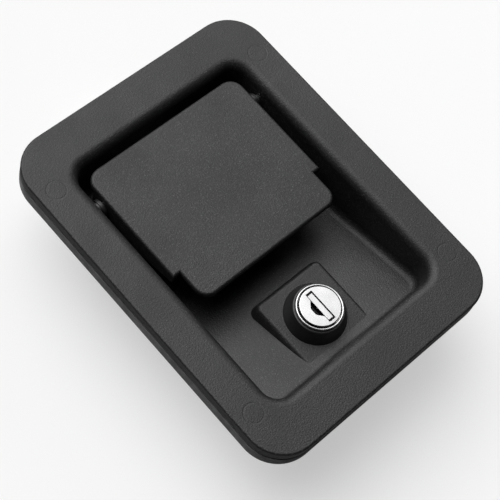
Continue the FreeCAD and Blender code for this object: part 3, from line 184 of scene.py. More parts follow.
def build_mesh(
    name: str, sheets: list[Sheet], crease: float = 32.0, plates: tuple[Plate, ...] = ()
) -> bpy.types.Object:
    """Joins sheets into one piece with smooth faces and sharp creases.

    Args:
        name: Name of the piece.
        sheets: The surfaces, in millimetres.
        crease: Angle in degrees past which an edge is sharp.
        plates: Flat faces that close the sheets, welded to them where they meet.

    Returns:
        The new object, at the origin, with its place in its mesh.
    """
    corners, starts, totals, points = [], [], [], []
    base = used = 0
    for sheet in sheets:
        quads = sheet.quads() + base
        corners.append(quads.reshape(-1))
        starts.append(used + 4 * np.arange(len(quads)))
        totals.append(np.full(len(quads), 4))
        used += quads.size
        for ring in sheet.caps():
            corners.append(ring + base)
            starts.append(np.array([used]))
            totals.append(np.array([ring.size]))
            used += ring.size
        points.append(sheet.points.reshape(-1, 3))
        base += points[-1].shape[0]
    for plate in plates:
        cells = plate.triangles() + base
        corners.append(cells.reshape(-1))
        starts.append(used + 3 * np.arange(len(cells)))
        totals.append(np.full(len(cells), 3))
        used += cells.size
        points.append(plate.points())
        base += points[-1].shape[0]
    mesh = bpy.data.meshes.new(name)
    mesh.vertices.add(base)
    mesh.vertices.foreach_set("co", (np.concatenate(points) * MM).astype(np.float32).ravel())
    mesh.loops.add(used)
    mesh.loops.foreach_set("vertex_index", np.concatenate(corners).astype(np.int32))
    mesh.polygons.add(sum(len(s) for s in starts))
    mesh.polygons.foreach_set("loop_start", np.concatenate(starts).astype(np.int32))
    mesh.polygons.foreach_set("loop_total", np.concatenate(totals).astype(np.int32))
    mesh.update(calc_edges=True)
    mesh.validate()
    if plates:
        weld = bmesh.new()
        weld.from_mesh(mesh)
        bmesh.ops.remove_doubles(weld, verts=weld.verts, dist=WELD)
        weld.to_mesh(mesh)
        weld.free()
    mesh.polygons.foreach_set("use_smooth", np.ones(len(mesh.polygons), dtype=bool))
    mesh.set_sharp_from_angle(angle=math.radians(crease))
    piece = bpy.data.objects.new(name, mesh)
    bpy.context.scene.collection.objects.link(piece)
    return piece


def around(count: int) -> np.ndarray:
    """Evenly spaced angles of a full turn, the first not repeated.

    Args:
        count: How many angles.

    Returns:
        Array of angles in radians.
    """
    return np.linspace(0.0, 2.0 * math.pi, count, endpoint=False)


def stand(local: np.ndarray, axis: Axis, place: tuple[float, float, float]) -> np.ndarray:
    """Turns points made about a local z axis so that they stand on an axis of the latch.

    Args:
        local: Points whose last axis holds x, y and z about the local axis.
        axis: Where the local z axis points.
        place: Where the local origin goes, in millimetres.

    Returns:
        The points in the latch's own frame.
    """
    x, y, z = local[..., 0], local[..., 1], local[..., 2]
    order = {Axis.OUT: (x, y, z), Axis.ALONG: (y, z, x)}[axis]
    return np.stack(order, axis=-1) + np.array(place)


def turned(radii: np.ndarray, heights: np.ndarray) -> np.ndarray:
    """A turned or many-sided form: each row is a ring of radii at its height.

    Args:
        radii: Array (rows, columns) of distances from the axis.
        heights: Array (rows,) or (rows, columns) of heights along the axis.

    Returns:
        Array (rows, columns, 3), where a point is (r cos a, r sin a, height).
    """
    angle = around(radii.shape[1])[None, :]
    level = heights if heights.ndim == 2 else np.broadcast_to(heights[:, None], radii.shape)
    return np.stack([radii * np.cos(angle), radii * np.sin(angle), level], axis=-1)


def hexagon_radius(flats: float, count: int) -> np.ndarray:
    """Distance from the axis to a hexagon's side at evenly spaced angles.

    The distance is half the width across flats over the cosine of the angle from the
    nearest side's middle.

    Args:
        flats: Width across flats in millimetres.
        count: How many angles, a multiple of six puts a point on every corner.

    Returns:
        Array of radii.
    """
    part = math.pi / 3
    off = np.mod(around(count) + part / 2, part) - part / 2
    return flats / 2 / np.cos(off)


def thread_radius(
    heights: np.ndarray, count: int, outer: float, pitch: float, depth: float
) -> np.ndarray:
    """Radius of a helical thread over a grid of heights and angles.

    The radius falls from the crest by the depth times a triangle wave of the height in
    pitches less the angle in turns. The wave is stretched a little about its middle and
    cut off, which leaves flat crests and roots.

    Args:
        heights: Array (rows,) of heights in millimetres.
        count: Number of angles.
        outer: Radius at the crests.
        pitch: Height of one turn.
        depth: Depth from crest to root.

    Returns:
        Array (rows, count) of radii.
    """
    phase = heights[:, None] / pitch - around(count)[None, :] / (2 * math.pi)
    wave = np.abs(2 * np.mod(phase, 1.0) - 1)
    spare = 0.075
    return outer - depth * np.clip((1 + 2 * spare) * wave - spare, 0.0, 1.0)


def map_range(
    tree: bpy.types.NodeTree,
    value: bpy.types.NodeSocket,
    source: tuple[float, float],
    target: tuple[float, float] = (0.0, 1.0),
    smooth: bool = False,
) -> bpy.types.NodeSocket:
    """Adds a node that carries one range of values over to another.

    Args:
        tree: The tree that it belongs to.
        value: The value that comes in.
        source: The ends of the range that comes in.
        target: What the two ends become.
        smooth: Whether the change starts and ends softly.

    Returns:
        The socket with the result.
    """
    node = tree.nodes.new("ShaderNodeMapRange")
    if smooth:
        node.interpolation_type = "SMOOTHSTEP"
    for name, end in zip(("From Min", "From Max", "To Min", "To Max"), (*source, *target)):
        node.inputs[name].default_value = end
    tree.links.new(value, node.inputs["Value"])
    return node.outputs["Result"]


def maths(
    tree: bpy.types.NodeTree, operation: str, *values: float | bpy.types.NodeSocket
) -> bpy.types.NodeSocket:
    """Adds a math node.

    Args:
        tree: The tree that it belongs to.
        operation: What it does.
        *values: Numbers or sockets for its inputs, in order.

    Returns:
        The socket with the result.
    """
    node = tree.nodes.new("ShaderNodeMath")
    node.operation = operation
    for entry, value in zip(node.inputs, values):
        if isinstance(value, bpy.types.NodeSocket):
            tree.links.new(value, entry)
        else:
            entry.default_value = value
    return node.outputs[0]


class Grain:
    """The shared shader group for a cast, coated or moulded surface's fine grain.

    Attributes:
        NAME: Name of the group.
        INPUTS: Its inputs and their defaults.
        OUTPUTS: Its outputs.
        DETAIL: Octaves of the fine noise and of the patches.
        ROUGHNESS: Share of the fine noise's higher octaves.
        BEADS: Beads for each grain.
        BEAD_EDGE: Distance from a bead's middle, in cells, at which its height is none.
        SPECK: Values of the fine noise at which a bright speck begins and is full.
    """

    NAME = "fine_grain"
    INPUTS = (("Grain size", 2400.0), ("Patch size", 60.0), ("Contrast", 0.5))
    OUTPUTS = ("Height", "Shade", "Speck")
    DETAIL = (3.0, 2.0)
    ROUGHNESS = 0.62
    BEADS = 0.62
    BEAD_EDGE = 0.7
    SPECK = (0.56, 0.78)

    @classmethod
    def group(cls) -> bpy.types.ShaderNodeTree:
        """Builds the group once and then gives the same one back.

        Returns:
            A group with inputs for the size of grains and patches and for the share of
            beads, and outputs for the height, the slow shade change and bright specks.
        """
        found = bpy.data.node_groups.get(cls.NAME)
        if found:
            return found
        tree = bpy.data.node_groups.new(cls.NAME, "ShaderNodeTree")
        for name, default in cls.INPUTS:
            socket = tree.interface.new_socket(
                name, in_out="INPUT", socket_type="NodeSocketFloat"
            )
            socket.default_value = default
        for name in cls.OUTPUTS:
            tree.interface.new_socket(name, in_out="OUTPUT", socket_type="NodeSocketFloat")
        nodes, links = tree.nodes, tree.links
        entry = nodes.new("NodeGroupInput")
        leave = nodes.new("NodeGroupOutput")
        place = nodes.new("ShaderNodeTexCoord")
        fine = nodes.new("ShaderNodeTexNoise")
        fine.inputs["Roughness"].default_value = cls.ROUGHNESS
        patch = nodes.new("ShaderNodeTexNoise")
        for node, detail in zip((fine, patch), cls.DETAIL):
            node.inputs["Detail"].default_value = detail
        bead = nodes.new("ShaderNodeTexVoronoi")
        bead.feature = "F1"
        for node in (fine, patch, bead):
            links.new(place.outputs["Object"], node.inputs["Vector"])
        links.new(entry.outputs["Grain size"], fine.inputs["Scale"])
        links.new(entry.outputs["Patch size"], patch.inputs["Scale"])
        wide = maths(tree, "MULTIPLY", entry.outputs["Grain size"], cls.BEADS)
        links.new(wide, bead.inputs["Scale"])
        beads = map_range(tree, bead.outputs["Distance"], (0.0, cls.BEAD_EDGE), (1.0, 0.0))
        blend = nodes.new("ShaderNodeMix")
        blend.data_type = "FLOAT"
        links.new(entry.outputs["Contrast"], blend.inputs["Factor"])
        links.new(fine.outputs["Fac"], blend.inputs["A"])
        links.new(beads, blend.inputs["B"])
        speck = map_range(tree, fine.outputs["Fac"], cls.SPECK)
        links.new(blend.outputs["Result"], leave.inputs["Height"])
        links.new(patch.outputs["Fac"], leave.inputs["Shade"])
        links.new(speck, leave.inputs["Speck"])
        return tree


class Shader:
    """A material under construction, with its Principled shader."""

    def __init__(self, name: str) -> None:
        """Starts an empty material.

        Args:
            name: Name of the material.
        """
        self.material = bpy.data.materials.new(name)
        self.material.use_nodes = True
        self.tree = self.material.node_tree
        self.nodes = self.tree.nodes
        self.links = self.tree.links
        self.skin = self.nodes["Principled BSDF"]

    def set(self, **values: float | tuple[float, ...]) -> "Shader":
        """Sets sockets of the Principled shader.

        Args:
            **values: Socket names with underscores for spaces, and their values.

        Returns:
            This shader.
        """
        for name, value in values.items():
            self.skin.inputs[name.replace("_", " ")].default_value = value
        return self

    def place(self) -> bpy.types.NodeSocket:
        """Adds the surface's place in the latch.

        Returns:
            The socket with the place, in metres.
        """
        return self.nodes.new("ShaderNodeTexCoord").outputs["Object"]

    def grain(self, size: float, patch: float, beads: float) -> bpy.types.ShaderNode:
        """Adds the fine grain group.

        Args:
            size: Grains in a metre, roughly.
            patch: Shade patches in a metre, roughly.
            beads: Share of round beads in the height.

        Returns:
            The group node.
        """
        node = self.nodes.new("ShaderNodeGroup")
        node.node_tree = Grain.group()
        for (name, _), value in zip(Grain.INPUTS, (size, patch, beads)):
            node.inputs[name].default_value = value
        return node

    def bump(self, height: bpy.types.NodeSocket, depth: float) -> None:
        """Raises the surface by a height.

        Args:
            height: The socket that gives the height.
            depth: Height of the relief in metres.
        """
        node = self.nodes.new("ShaderNodeBump")
        node.inputs["Distance"].default_value = depth
        node.inputs["Strength"].default_value = 1.0
        self.links.new(height, node.inputs["Height"])
        self.links.new(node.outputs["Normal"], self.skin.inputs["Normal"])

    def spread(self, mask: bpy.types.NodeSocket, low: float, high: float) -> None:
        """Feeds the roughness from a mask, spread between two values.

        Args:
            mask: The mask.
            low: Roughness at the start of the mask's middle range.
            high: Roughness at its end.
        """
        self.links.new(
            map_range(self.tree, mask, MASK_RANGE, (low, high)), self.skin.inputs["Roughness"]
        )

    def tint(
        self,
        mask: bpy.types.NodeSocket,
        dark: tuple[float, float, float],
        light: tuple[float, float, float],
        source: tuple[float, float] = MASK_RANGE,
    ) -> None:
        """Feeds the base colour from a mask, between two colours.

        Args:
            mask: The mask.
            dark: Colour at the start of the mask's range.
            light: Colour at its end.
            source: The mask's range.
        """
        ramp = self.nodes.new("ShaderNodeValToRGB")
        first, last = ramp.color_ramp.elements
        first.position, last.position = source
        first.color, last.color = (*dark, 1.0), (*light, 1.0)
        self.links.new(mask, ramp.inputs["Fac"])
        self.links.new(ramp.outputs["Color"], self.skin.inputs["Base Color"])


@dataclass(frozen=True)
class PowderCoat:
    """Fine textured black coating, as on the dish and the paddle.

    The relief is in metres. The faint rings' radius and half width are in millimetres,
    and their depth is a share of the relief.
    """

    dark: tuple[float, float, float] = (0.004, 0.004, 0.0045)
    light: tuple[float, float, float] = (0.1, 0.1, 0.101)
    smooth: float = 0.5
    rough: float = 0.58
    shine: float = 0.55
    grains: float = 2600.0
    patches: float = 55.0
    beads: float = 0.45
    relief: float = 0.0001
    ring_radius: float = 3.45
    ring_width: float = 0.5
    ring_depth: float = -0.5

    def material(
        self, name: str, marks: tuple[tuple[float, float], ...] = ()
    ) -> bpy.types.Material:
        """Makes the coating, with a faint ring at each mark.

        Args:
            name: Name of the material.
            marks: Places of the faint round marks over cast-in stud roots, in millimetres.

        Returns:
            The material.
        """
        coat = Shader(name).set(Specular_IOR_Level=self.shine, IOR=1.5)
        grain = coat.grain(self.grains, self.patches, self.beads)
        coat.tint(grain.outputs["Speck"], self.dark, self.light, (0.0, 1.0))
        coat.spread(grain.outputs["Shade"], self.smooth, self.rough)
        height = grain.outputs["Height"]
        if marks:
            height = self.ringed(coat, height, marks)
        coat.bump(height, self.relief)
        return coat.material

    def ringed(
        self,
        coat: Shader,
        height: bpy.types.NodeSocket,
        marks: tuple[tuple[float, float], ...],
    ) -> bpy.types.NodeSocket:
        """Lowers the height along a thin soft ring round each mark.

        Args:
            coat: The coating's shader.
            height: The grain's height.
            marks: Places of the marks in millimetres.

        Returns:
            The combined height.
        """
        flat = coat.nodes.new("ShaderNodeVectorMath")
        flat.operation = "MULTIPLY"
        flat.inputs[1].default_value = (1.0, 1.0, 0.0)
        coat.links.new(coat.place(), flat.inputs[0])
        width = self.ring_width * MM
        for across, along in marks:
            reach = coat.nodes.new("ShaderNodeVectorMath")
            reach.operation = "DISTANCE"
            reach.inputs[1].default_value = (across * MM, along * MM, 0.0)
            coat.links.new(flat.outputs["Vector"], reach.inputs[0])
            off = maths(coat.tree, "SUBTRACT", reach.outputs["Value"], self.ring_radius * MM)
            size = maths(coat.tree, "ABSOLUTE", off)
            ring = map_range(coat.tree, size, (0.0, width), (self.ring_depth, 0.0), smooth=True)
            height = maths(coat.tree, "ADD", ring, height)
        return height


@dataclass(frozen=True)
class Grained:
    """A finish whose colour, roughness and height all follow the fine grain.

    Grains and patches are counted in a metre, and the relief is in metres.
    """

    dark: tuple[float, float, float]
    light: tuple[float, float, float]
    smooth: float
    rough: float
    grains: float
    relief: float
    patches: float
    beads: float

    def sockets(self) -> dict[str, float]:
        """What the finish sets apart from its grain.

        Returns:
            Socket names with underscores for spaces, and their values.
        """
        return {}

    def shader(self, name: str) -> Shader:
        """Makes the finish.

        Args:
            name: Name of the material.

        Returns:
            The shader, to which more can be added.
        """
        skin = Shader(name).set(**self.sockets())
        grain = skin.grain(self.grains, self.patches, self.beads)
        skin.tint(grain.outputs["Shade"], self.dark, self.light)
        skin.spread(grain.outputs["Height"], self.smooth, self.rough)
        skin.bump(grain.outputs["Height"], self.relief)
        return skin


@dataclass(frozen=True)
class SealRubber(Grained):
    """Matt black cellular rubber with a slightly dusty skin."""

    dark: tuple[float, float, float] = (0.08, 0.08, 0.082)
    light: tuple[float, float, float] = (0.15, 0.15, 0.152)
    smooth: float = 0.68
    rough: float = 0.86
    grains: float = 1500.0
    relief: float = 0.00003
    patches: float = 220.0
    beads: float = 0.25

    def sockets(self) -> dict[str, float]:
        """The rubber's dull shine and its dust.

        Returns:
            Socket names and their values.
        """
        return {"Specular_IOR_Level": 0.35, "Sheen_Weight": 0.12, "Sheen_Roughness": 0.5}


@dataclass(frozen=True)
class Metal(Grained):
    """A bare or plated metal with fine marks from its making."""

    patches: float = 180.0
    beads: float = 0.15

    def sockets(self) -> dict[str, float]:
        """Bare metal all over.

        Returns:
            Socket names and their values.
        """
        return {"Metallic": 1.0}


@dataclass(frozen=True)
class Moulding(Grained):
    """A moulded plastic, which light enters by the share named glow."""

    grains: float = 1900.0
    relief: float = 0.000008
    patches: float = 120.0
    beads: float = 0.1
    glow: float = 0.0

    def sockets(self) -> dict[str, float]:
        """The plastic's shine and glow.

        Returns:
            Socket names and their values.
        """
        return {
            "Subsurface_Weight": self.glow,
            "Subsurface_Scale": 0.0012,
            "Specular_IOR_Level": 0.5,
        }


@dataclass(frozen=True)
class PlugFaceWithPaintedShade:
    """The bright lock plug, with painted shade in its scoop, on its side and round the shutter.

    Sizes are in millimetres. The metal is painted dark as shade up to one height and left bright
    from another, and painted dark as the shutter gap's shadow over the whole of an upright box
    round the key's slot.
    """

    # Colour of the painted shade on the plug.
    dark: tuple[float, float, float] = (0.012, 0.012, 0.012)
    shade_full_height: float = 2.35
    shade_end_height: float = 2.5
    middle: float = -35.6
    shade_box_half_width: float = 1.42
    shade_box_half_length: float = 6.25

    def material(self, name: str, metal: Metal) -> bpy.types.Material:
        """Makes the plug's metal with painted shade in its hollows.

        Args:
            name: Name of the material.
            metal: The metal of the face.

        Returns:
            The material.
        """
        coat = metal.shader(name)
        tree, base = coat.tree, coat.skin.inputs["Base Color"]
        split = coat.nodes.new("ShaderNodeSeparateXYZ")
        coat.links.new(coat.place(), split.inputs[0])
        x, y, z = split.outputs
        # Painted shade: the metal is dark below the face, in the scoop and on the plug's side.
        high = map_range(tree, z, (self.shade_full_height * MM, self.shade_end_height * MM))
        # Painted shadow of the shutter's gap: dark over a box round the key's slot.
        across = maths(tree, "COMPARE", x, 0.0, self.shade_box_half_width * MM)
        along = maths(tree, "COMPARE", y, self.middle * MM, self.shade_box_half_length * MM)
        clear = maths(tree, "SUBTRACT", high, maths(tree, "MULTIPLY", across, along))
        clear.node.use_clamp = True
        mix = coat.nodes.new("ShaderNodeMix")
        mix.data_type = "RGBA"
        first, second = (socket for socket in mix.inputs if socket.type == "RGBA")
        first.default_value = (*self.dark, 1.0)
        coat.links.new(base.links[0].from_socket, second)
        coat.links.new(clear, mix.inputs["Factor"])
        coat.links.new(next(out for out in mix.outputs if out.type == "RGBA"), base)
        return coat.material


class Finish(Enum):
    """The finishes of the latch, by the record's material slot."""

    COAT = "black_powder"
    SEAL = "gasket_rubber"
    ZINC = "zinc_steel"
    SPRING = "spring_steel"
    CASE = "lock_case"
    SLEEVE = "sleeve_black"
    CHROME = "bright_chrome"
    NYLON = "nylon"


@dataclass
class Finishes:
    """Every finish of the latch, made once."""

    zinc: Metal = Metal((0.56, 0.57, 0.58), (0.72, 0.72, 0.71), 0.26, 0.42, 900.0, 0.000006)
    wire: Metal = Metal((0.3, 0.3, 0.31), (0.46, 0.46, 0.47), 0.22, 0.36, 1400.0, 0.000005)
    nickel: Metal = Metal((0.6, 0.59, 0.57), (0.72, 0.71, 0.69), 0.3, 0.44, 1100.0, 0.000006)
    chrome: Metal = Metal((0.52, 0.52, 0.525), (0.6, 0.6, 0.6), 0.24, 0.36, 1500.0, 0.000006)
    sleeve: Moulding = Moulding((0.008, 0.008, 0.009), (0.016, 0.016, 0.017), 0.36, 0.48)
    nylon: Moulding = Moulding((0.74, 0.73, 0.68), (0.84, 0.83, 0.79), 0.4, 0.55, glow=0.15)
    marks: tuple[tuple[float, float], ...] = tuple(
        (x, y) for x in (-46.5, 46.5) for y in (-50.0, 50.0)
    )
    made: dict[Finish, bpy.types.Material] = field(default_factory=dict)

    def __post_init__(self) -> None:
        """Makes the materials."""
        self.made = {
            Finish.COAT: PowderCoat().material("black_powder_coat"),
            Finish.SEAL: SealRubber().shader("seal_rubber").material,
            Finish.ZINC: self.zinc.shader("zinc_plate").material,
            Finish.SPRING: self.wire.shader("spring_wire").material,
            Finish.CASE: self.nickel.shader("nickel_plate").material,
            Finish.CHROME: self.chrome.shader("satin_chrome").material,
            Finish.SLEEVE: self.sleeve.shader("black_sleeve").material,
            Finish.NYLON: self.nylon.shader("white_nylon").material,
        }

    def dress_frame(self) -> None:
        """Gives every CAD node the finish of its slot, and the dish its faint marks."""
        slots = {part["node"]: part["material_slot"] for part in frame["record"]["subparts"]}
        special = {
            "housing": PowderCoat().material("black_powder_coat_dish", self.marks),
            "lock_plug": PlugFaceWithPaintedShade().material("satin_chrome_plug_painted_shade", self.chrome),
        }
        for name, node in frame["nodes"].items():
            material = special.get(name) or self.made[Finish(slots[name])]
            node.data.materials.clear()
            node.data.materials.append(material)
            log.info("node %s: %s", name, material.name)

    def dress(self, piece: bpy.types.Object, finish: Finish, body: str, node: str) -> None:
        """Finishes a new piece and puts it on a body in place of a CAD node.

        Args:
            piece: The new piece.
            finish: Its finish.
            body: The body that it moves with, empty for a piece that lies between two.
            node: The CAD node that it stands for.
        """
        piece.data.materials.append(self.made[finish])
        if body:
            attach(piece, body)
        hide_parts(node)
        log.info("piece %s: %d faces", piece.name, len(piece.data.polygons))


@dataclass
class Seal:
    """The rubber frame under the flange, with fine lines along its edge.

    Sizes are in millimetres. The outline is the flange's, the hole is the dish's. The
    grooves' places and width are shares of the edge's height.
    """

    width: float = 107.0
    length: float = 140.0
    corner: float = 14.5
    hole_width: float = 83.2
    hole_length: float = 111.2
    hole_corner: float = 9.6
    top: float = 6.0
    overhang: float = 0.15
    neck: float = 1.2
    neck_inset: float = 1.9
    neck_sag: float = 1.1
    bevel: float = 0.12
    shoulder: tuple[float, float] = (0.14, 0.45)
    grooves: tuple[float, ...] = (0.2, 0.43, 0.66, 0.84)
    groove_width: float = 0.016
    groove_depth: float = 0.16
    pin_along: float = 39.0
    notch_half: float = 6.6
    notch_reach: float = 44.1
    stud_across: float = 46.75
    stud_along: float = 50.0
    stud_hole: float = 3.75
    edge_steps: int = 46
    corner_steps: int = 18
    hole_steps: int = 36

    @staticmethod
    def outline(width: float, length: float, corner: float, steps: int) -> np.ndarray:
        """A rounded rectangle as a closed run of points.

        Each corner is a quarter circle of evenly spaced angles, and each side runs
        straight between two corners.

        Args:
            width: Size across.
            length: Size along.
            corner: Corner radius.
            steps: Points in each corner.

        Returns:
            Array (points, 4) of x, y and the outward direction's x and y.
        """
        runs = []
        centres = ((1, 1), (-1, 1), (-1, -1), (1, -1))
        for number, (sx, sy) in enumerate(centres):
            angle = math.pi / 2 * (number + np.linspace(0.0, 1.0, steps))
            facing = np.stack([np.cos(angle), np.sin(angle)], axis=-1)
            middle = np.array([sx * (width / 2 - corner), sy * (length / 2 - corner)])
            runs.append(np.concatenate([middle + corner * facing, facing], axis=-1))
        return np.concatenate(runs)

    def section(self) -> list[tuple[float, float]]:
        """The outer edge's profile from the bottom up, as offset and height.

        The edge is straight but for fine grooves left by the cut and the foam's layers,
        and dips inwards under the flange, which leaves a dark gap.

        Returns:
            Offsets from the outline and heights, in millimetres.
        """
        high = self.top - self.neck
        height = np.linspace(self.bevel, high - self.bevel, self.edge_steps)
        share = height / high
        groove = sum(np.exp(-(((share - at) / self.groove_width) ** 2)) for at in self.grooves)
        bulge = self.bevel * (2 * share - 1) ** 6
        offset = self.overhang - self.groove_depth * groove - bulge
        edge = [(self.overhang - self.bevel, 0.0)]
        edge += list(zip(offset.tolist(), height.tolist()))
        edge += [(self.overhang - inset, high) for inset in self.shoulder]
        edge += [(-self.neck_inset, high - self.neck_sag), (-self.neck_inset, self.top)]
        return edge

    def opening(self) -> np.ndarray:
        """The hole's outline, with a notch each side for the pin's end.

        Returns:
            Array (points, 2).
        """
        steps = self.corner_steps
        inner = self.outline(self.hole_width, self.hole_length, self.hole_corner, steps)[:, :2]
        side, reach = self.hole_width / 2, self.notch_reach
        near, far = self.pin_along - self.notch_half, self.pin_along + self.notch_half
        right = np.array([[side, near], [reach, near], [reach, far], [side, far]])
        left = (right * [-1, 1])[::-1]
        return np.concatenate([inner[: 2 * steps], left, inner[2 * steps :], right])

    def make(self, finishes: Finishes) -> None:
        """Sweeps the section round the outline and closes it, leaving the stud holes.

        Args:
            finishes: The latch's finishes.
        """
        outer = self.outline(self.width, self.length, self.corner, self.corner_steps)
        rows = []
        for offset, height in self.section():
            ring = outer[:, :2] + offset * outer[:, 2:]
            rows.append(np.column_stack([ring, np.full(len(ring), height)]))
        turn = around(self.hole_steps)
        circle = self.stud_hole * np.stack([np.cos(turn), np.sin(turn)], axis=-1)
        middles = [(x * self.stud_across, y * self.stud_along) for x in (-1, 1) for y in (-1, 1)]
        holes = [self.opening(), *(circle + np.array(middle) for middle in middles)]
        sheets = [Sheet(np.array(rows))]
        for hole in holes:
            wall = [np.column_stack([hole, np.full(len(hole), z)]) for z in (self.top, 0.0)]
            sheets.append(Sheet(np.array(wall)))
        plates = (
            Plate([rows[0][:, :2], *holes], 0.0, up=False),
            Plate([rows[-1][:, :2], *holes], self.top, up=True),
        )
        piece = build_mesh("seal_frame", sheets, crease=40.0, plates=plates)
        finishes.dress(piece, Finish.SEAL, "housing", "flange_gasket")


@dataclass
class HingeSprings:
    """A wound spring each side of the lever on the hinge pin.

    Sizes are in millimetres. The first and last share of the coil, named rest, runs round
    in one plane.
    """

    along: float = 39.0
    height: float = 0.3
    coil: float = 3.2
    wire: float = 0.7
    inside: float = 17.7
    outside: float = 28.0
    turns: int = 6
    floor: float = -14.7
    leg: float = 7.5
    rest: float = 0.03
    turn_steps: int = 30
    coil_ends: int = 8
    drop_steps: int = 12
    leg_steps: int = 8
    wire_points: int = 12

    def centre_line(self, side: Side) -> tuple[np.ndarray, np.ndarray]:
        """The wire's centre line, from the leg on the floor to the leg under the paddle.

        The coil's angle falls evenly by six and a quarter turns while it runs outwards,
        and a straight leg leaves it at each end along its tangent.

        Args:
            side: Which spring.

        Returns:
            Points and outward directions, each of shape (points, 3).
        """
        share = np.linspace(0.0, 1.0, self.turns * self.turn_steps + self.coil_ends)
        angle = math.pi - share * (2 * math.pi * self.turns + math.pi / 2)
        ease = np.clip((1 + 2 * self.rest) * share - self.rest, 0.0, 1.0)
        across = side.value * (self.inside + ease * (self.outside - self.inside))
        facing = np.stack([np.zeros_like(angle), np.cos(angle), np.sin(angle)], axis=-1)
        axis_point = np.stack(
            [across, np.full_like(across, self.along), np.full_like(across, self.height)], axis=-1
        )
        coil = axis_point + self.coil * facing
        drop = np.linspace(self.floor, self.height, self.drop_steps, endpoint=False)
        down = np.repeat(coil[:1], len(drop), axis=0)
        down[:, 2] = drop
        run = np.linspace(self.leg, 0.0, self.leg_steps, endpoint=False)[::-1]
        out = np.repeat(coil[-1:], len(run), axis=0)
        out[:, 1] += run
        points = np.concatenate([down, coil, out])
        sides = np.concatenate(
            [np.repeat(facing[:1], len(drop), 0), facing, np.repeat(facing[-1:], len(run), 0)]
        )
        return points, sides

    def tube(self, points: np.ndarray, sides: np.ndarray) -> Sheet:
        """A round wire about a centre line.

        Each ring is the centre plus the wire's radius times the cosine of an angle along
        the outward direction and its sine along the direction square to it.

        Args:
            points: The centre line.
            sides: Outward directions.

        Returns:
            The wire's surface.
        """
        along = np.gradient(points, axis=0)
        along /= np.linalg.norm(along, axis=1, keepdims=True)
        normal = sides - along * np.sum(sides * along, axis=1, keepdims=True)
        normal /= np.linalg.norm(normal, axis=1, keepdims=True)
        cross = np.cross(along, normal)
        angle = around(self.wire_points)[None, :, None]
        ring = np.cos(angle) * normal[:, None] + np.sin(angle) * cross[:, None]
        return Sheet(points[:, None] + self.wire * ring, cap_first=True, cap_last=True)

    def make(self, finishes: Finishes) -> None:
        """Builds both springs, each lying between the dish and the paddle, on neither body.

        Args:
            finishes: The latch's finishes.
        """
        for side in Side:
            sheet = self.tube(*self.centre_line(side))
            piece = build_mesh(f"hinge_spring_{side.name.lower()}", [sheet], crease=50.0)
            finishes.dress(piece, Finish.SPRING, "", "torsion_springs")
            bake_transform(piece)


@dataclass
class Studs:
    """Four threaded studs that hold the latch in the door.

    Sizes are in millimetres. Each stud is its thread up to thread_top, a plain neck from
    neck up to seat, and a collar from there up to root. Its radii stay a hair within the
    holes of the flange.
    """

    across: float = 46.75
    along: float = 50.0
    radius: float = 2.48
    pitch: float = 0.8
    depth: float = 0.42
    tip: float = -11.4
    tip_radius: float = 1.6
    thread_top: float = 4.0
    thread_rows: int = 190
    neck: float = 4.4
    neck_radius: float = 2.45
    seat: float = 6.0
    root: float = 8.6
    collar: float = 3.48

    def make(self, finishes: Finishes) -> None:
        """Builds the studs as helical surfaces with a bevelled tip.

        The radius is the thread's, but never more than a cone that closes at the tip.

        Args:
            finishes: The latch's finishes.
        """
        heights = np.linspace(self.tip, self.thread_top, self.thread_rows)
        heights = np.concatenate([heights, [self.neck, self.seat, self.seat, self.root]])
        radius = thread_radius(heights, THREAD_POINTS, self.radius, self.pitch, self.depth)
        radius[-4:-2] = self.neck_radius
        radius[-2:] = self.collar
        cone = self.tip_radius + (heights - self.tip)
        radius = np.minimum(radius, cone[:, None])
        shape = turned(radius, heights)
        sheets = [
            Sheet(stand(shape, Axis.OUT, (x, y, 0.0)), cap_first=True, cap_last=True)
            for x in (-self.across, self.across)
            for y in (-self.along, self.along)
        ]
        piece = build_mesh("threaded_studs", sheets, crease=70.0)
        finishes.dress(piece, Finish.ZINC, "housing", "mounting_studs")


@dataclass
class HexForm:
    """A bevelled hexagon, open or closed in the middle.

    Sizes are in millimetres. Its flat face is a circle whose radius is the share named
    face of the width across flats, and the bevel falls by the share named slope of its
    own width.
    """

    flats: float
    thickness: float
    bore: float = 0.0
    bevelled_below: bool = True
    face: float = 0.475
    slope: float = 0.55
    mouth: float = 0.35
    steps: int = 7
    columns: int = 72

    def sheet(self, axis: Axis, place: tuple[float, float, float]) -> Sheet:
        """The hexagon standing on a point.

        Each ring's radius is the smaller of the hexagon's and a cone's, so that the bevel
        leaves the usual curved line on every side.

        Args:
            axis: The way its own axis points.
            place: Where its lower face's middle goes.

        Returns:
            The surface.
        """
        face, corner = self.face * self.flats, self.flats / math.sqrt(3)
        share = np.linspace(0.0, 1.0, self.steps)
        low = share * ((corner - face) * self.slope)
        cone = face + share * (corner - face)
        below = cone if self.bevelled_below else np.full(self.steps, corner)
        limit = np.concatenate([below, cone[::-1]])
        heights = np.concatenate([low, self.thickness - low[::-1]])
        side = hexagon_radius(self.flats, self.columns)
        radii = np.minimum(side[None, :], limit[:, None])
        if self.bore:
            sink = self.bore + self.mouth
            mouth = np.array([sink, self.bore, self.bore, sink])
            level = np.array([self.thickness, self.thickness - self.mouth, self.mouth, 0.0])
            radii = np.concatenate([radii, np.repeat(mouth[:, None], self.columns, 1)])
            heights = np.concatenate([heights, level])
        shape = stand(turned(radii, heights), axis, place)
        closed = not self.bore
        return Sheet(shape, loop_rows=not closed, cap_first=closed, cap_last=closed)


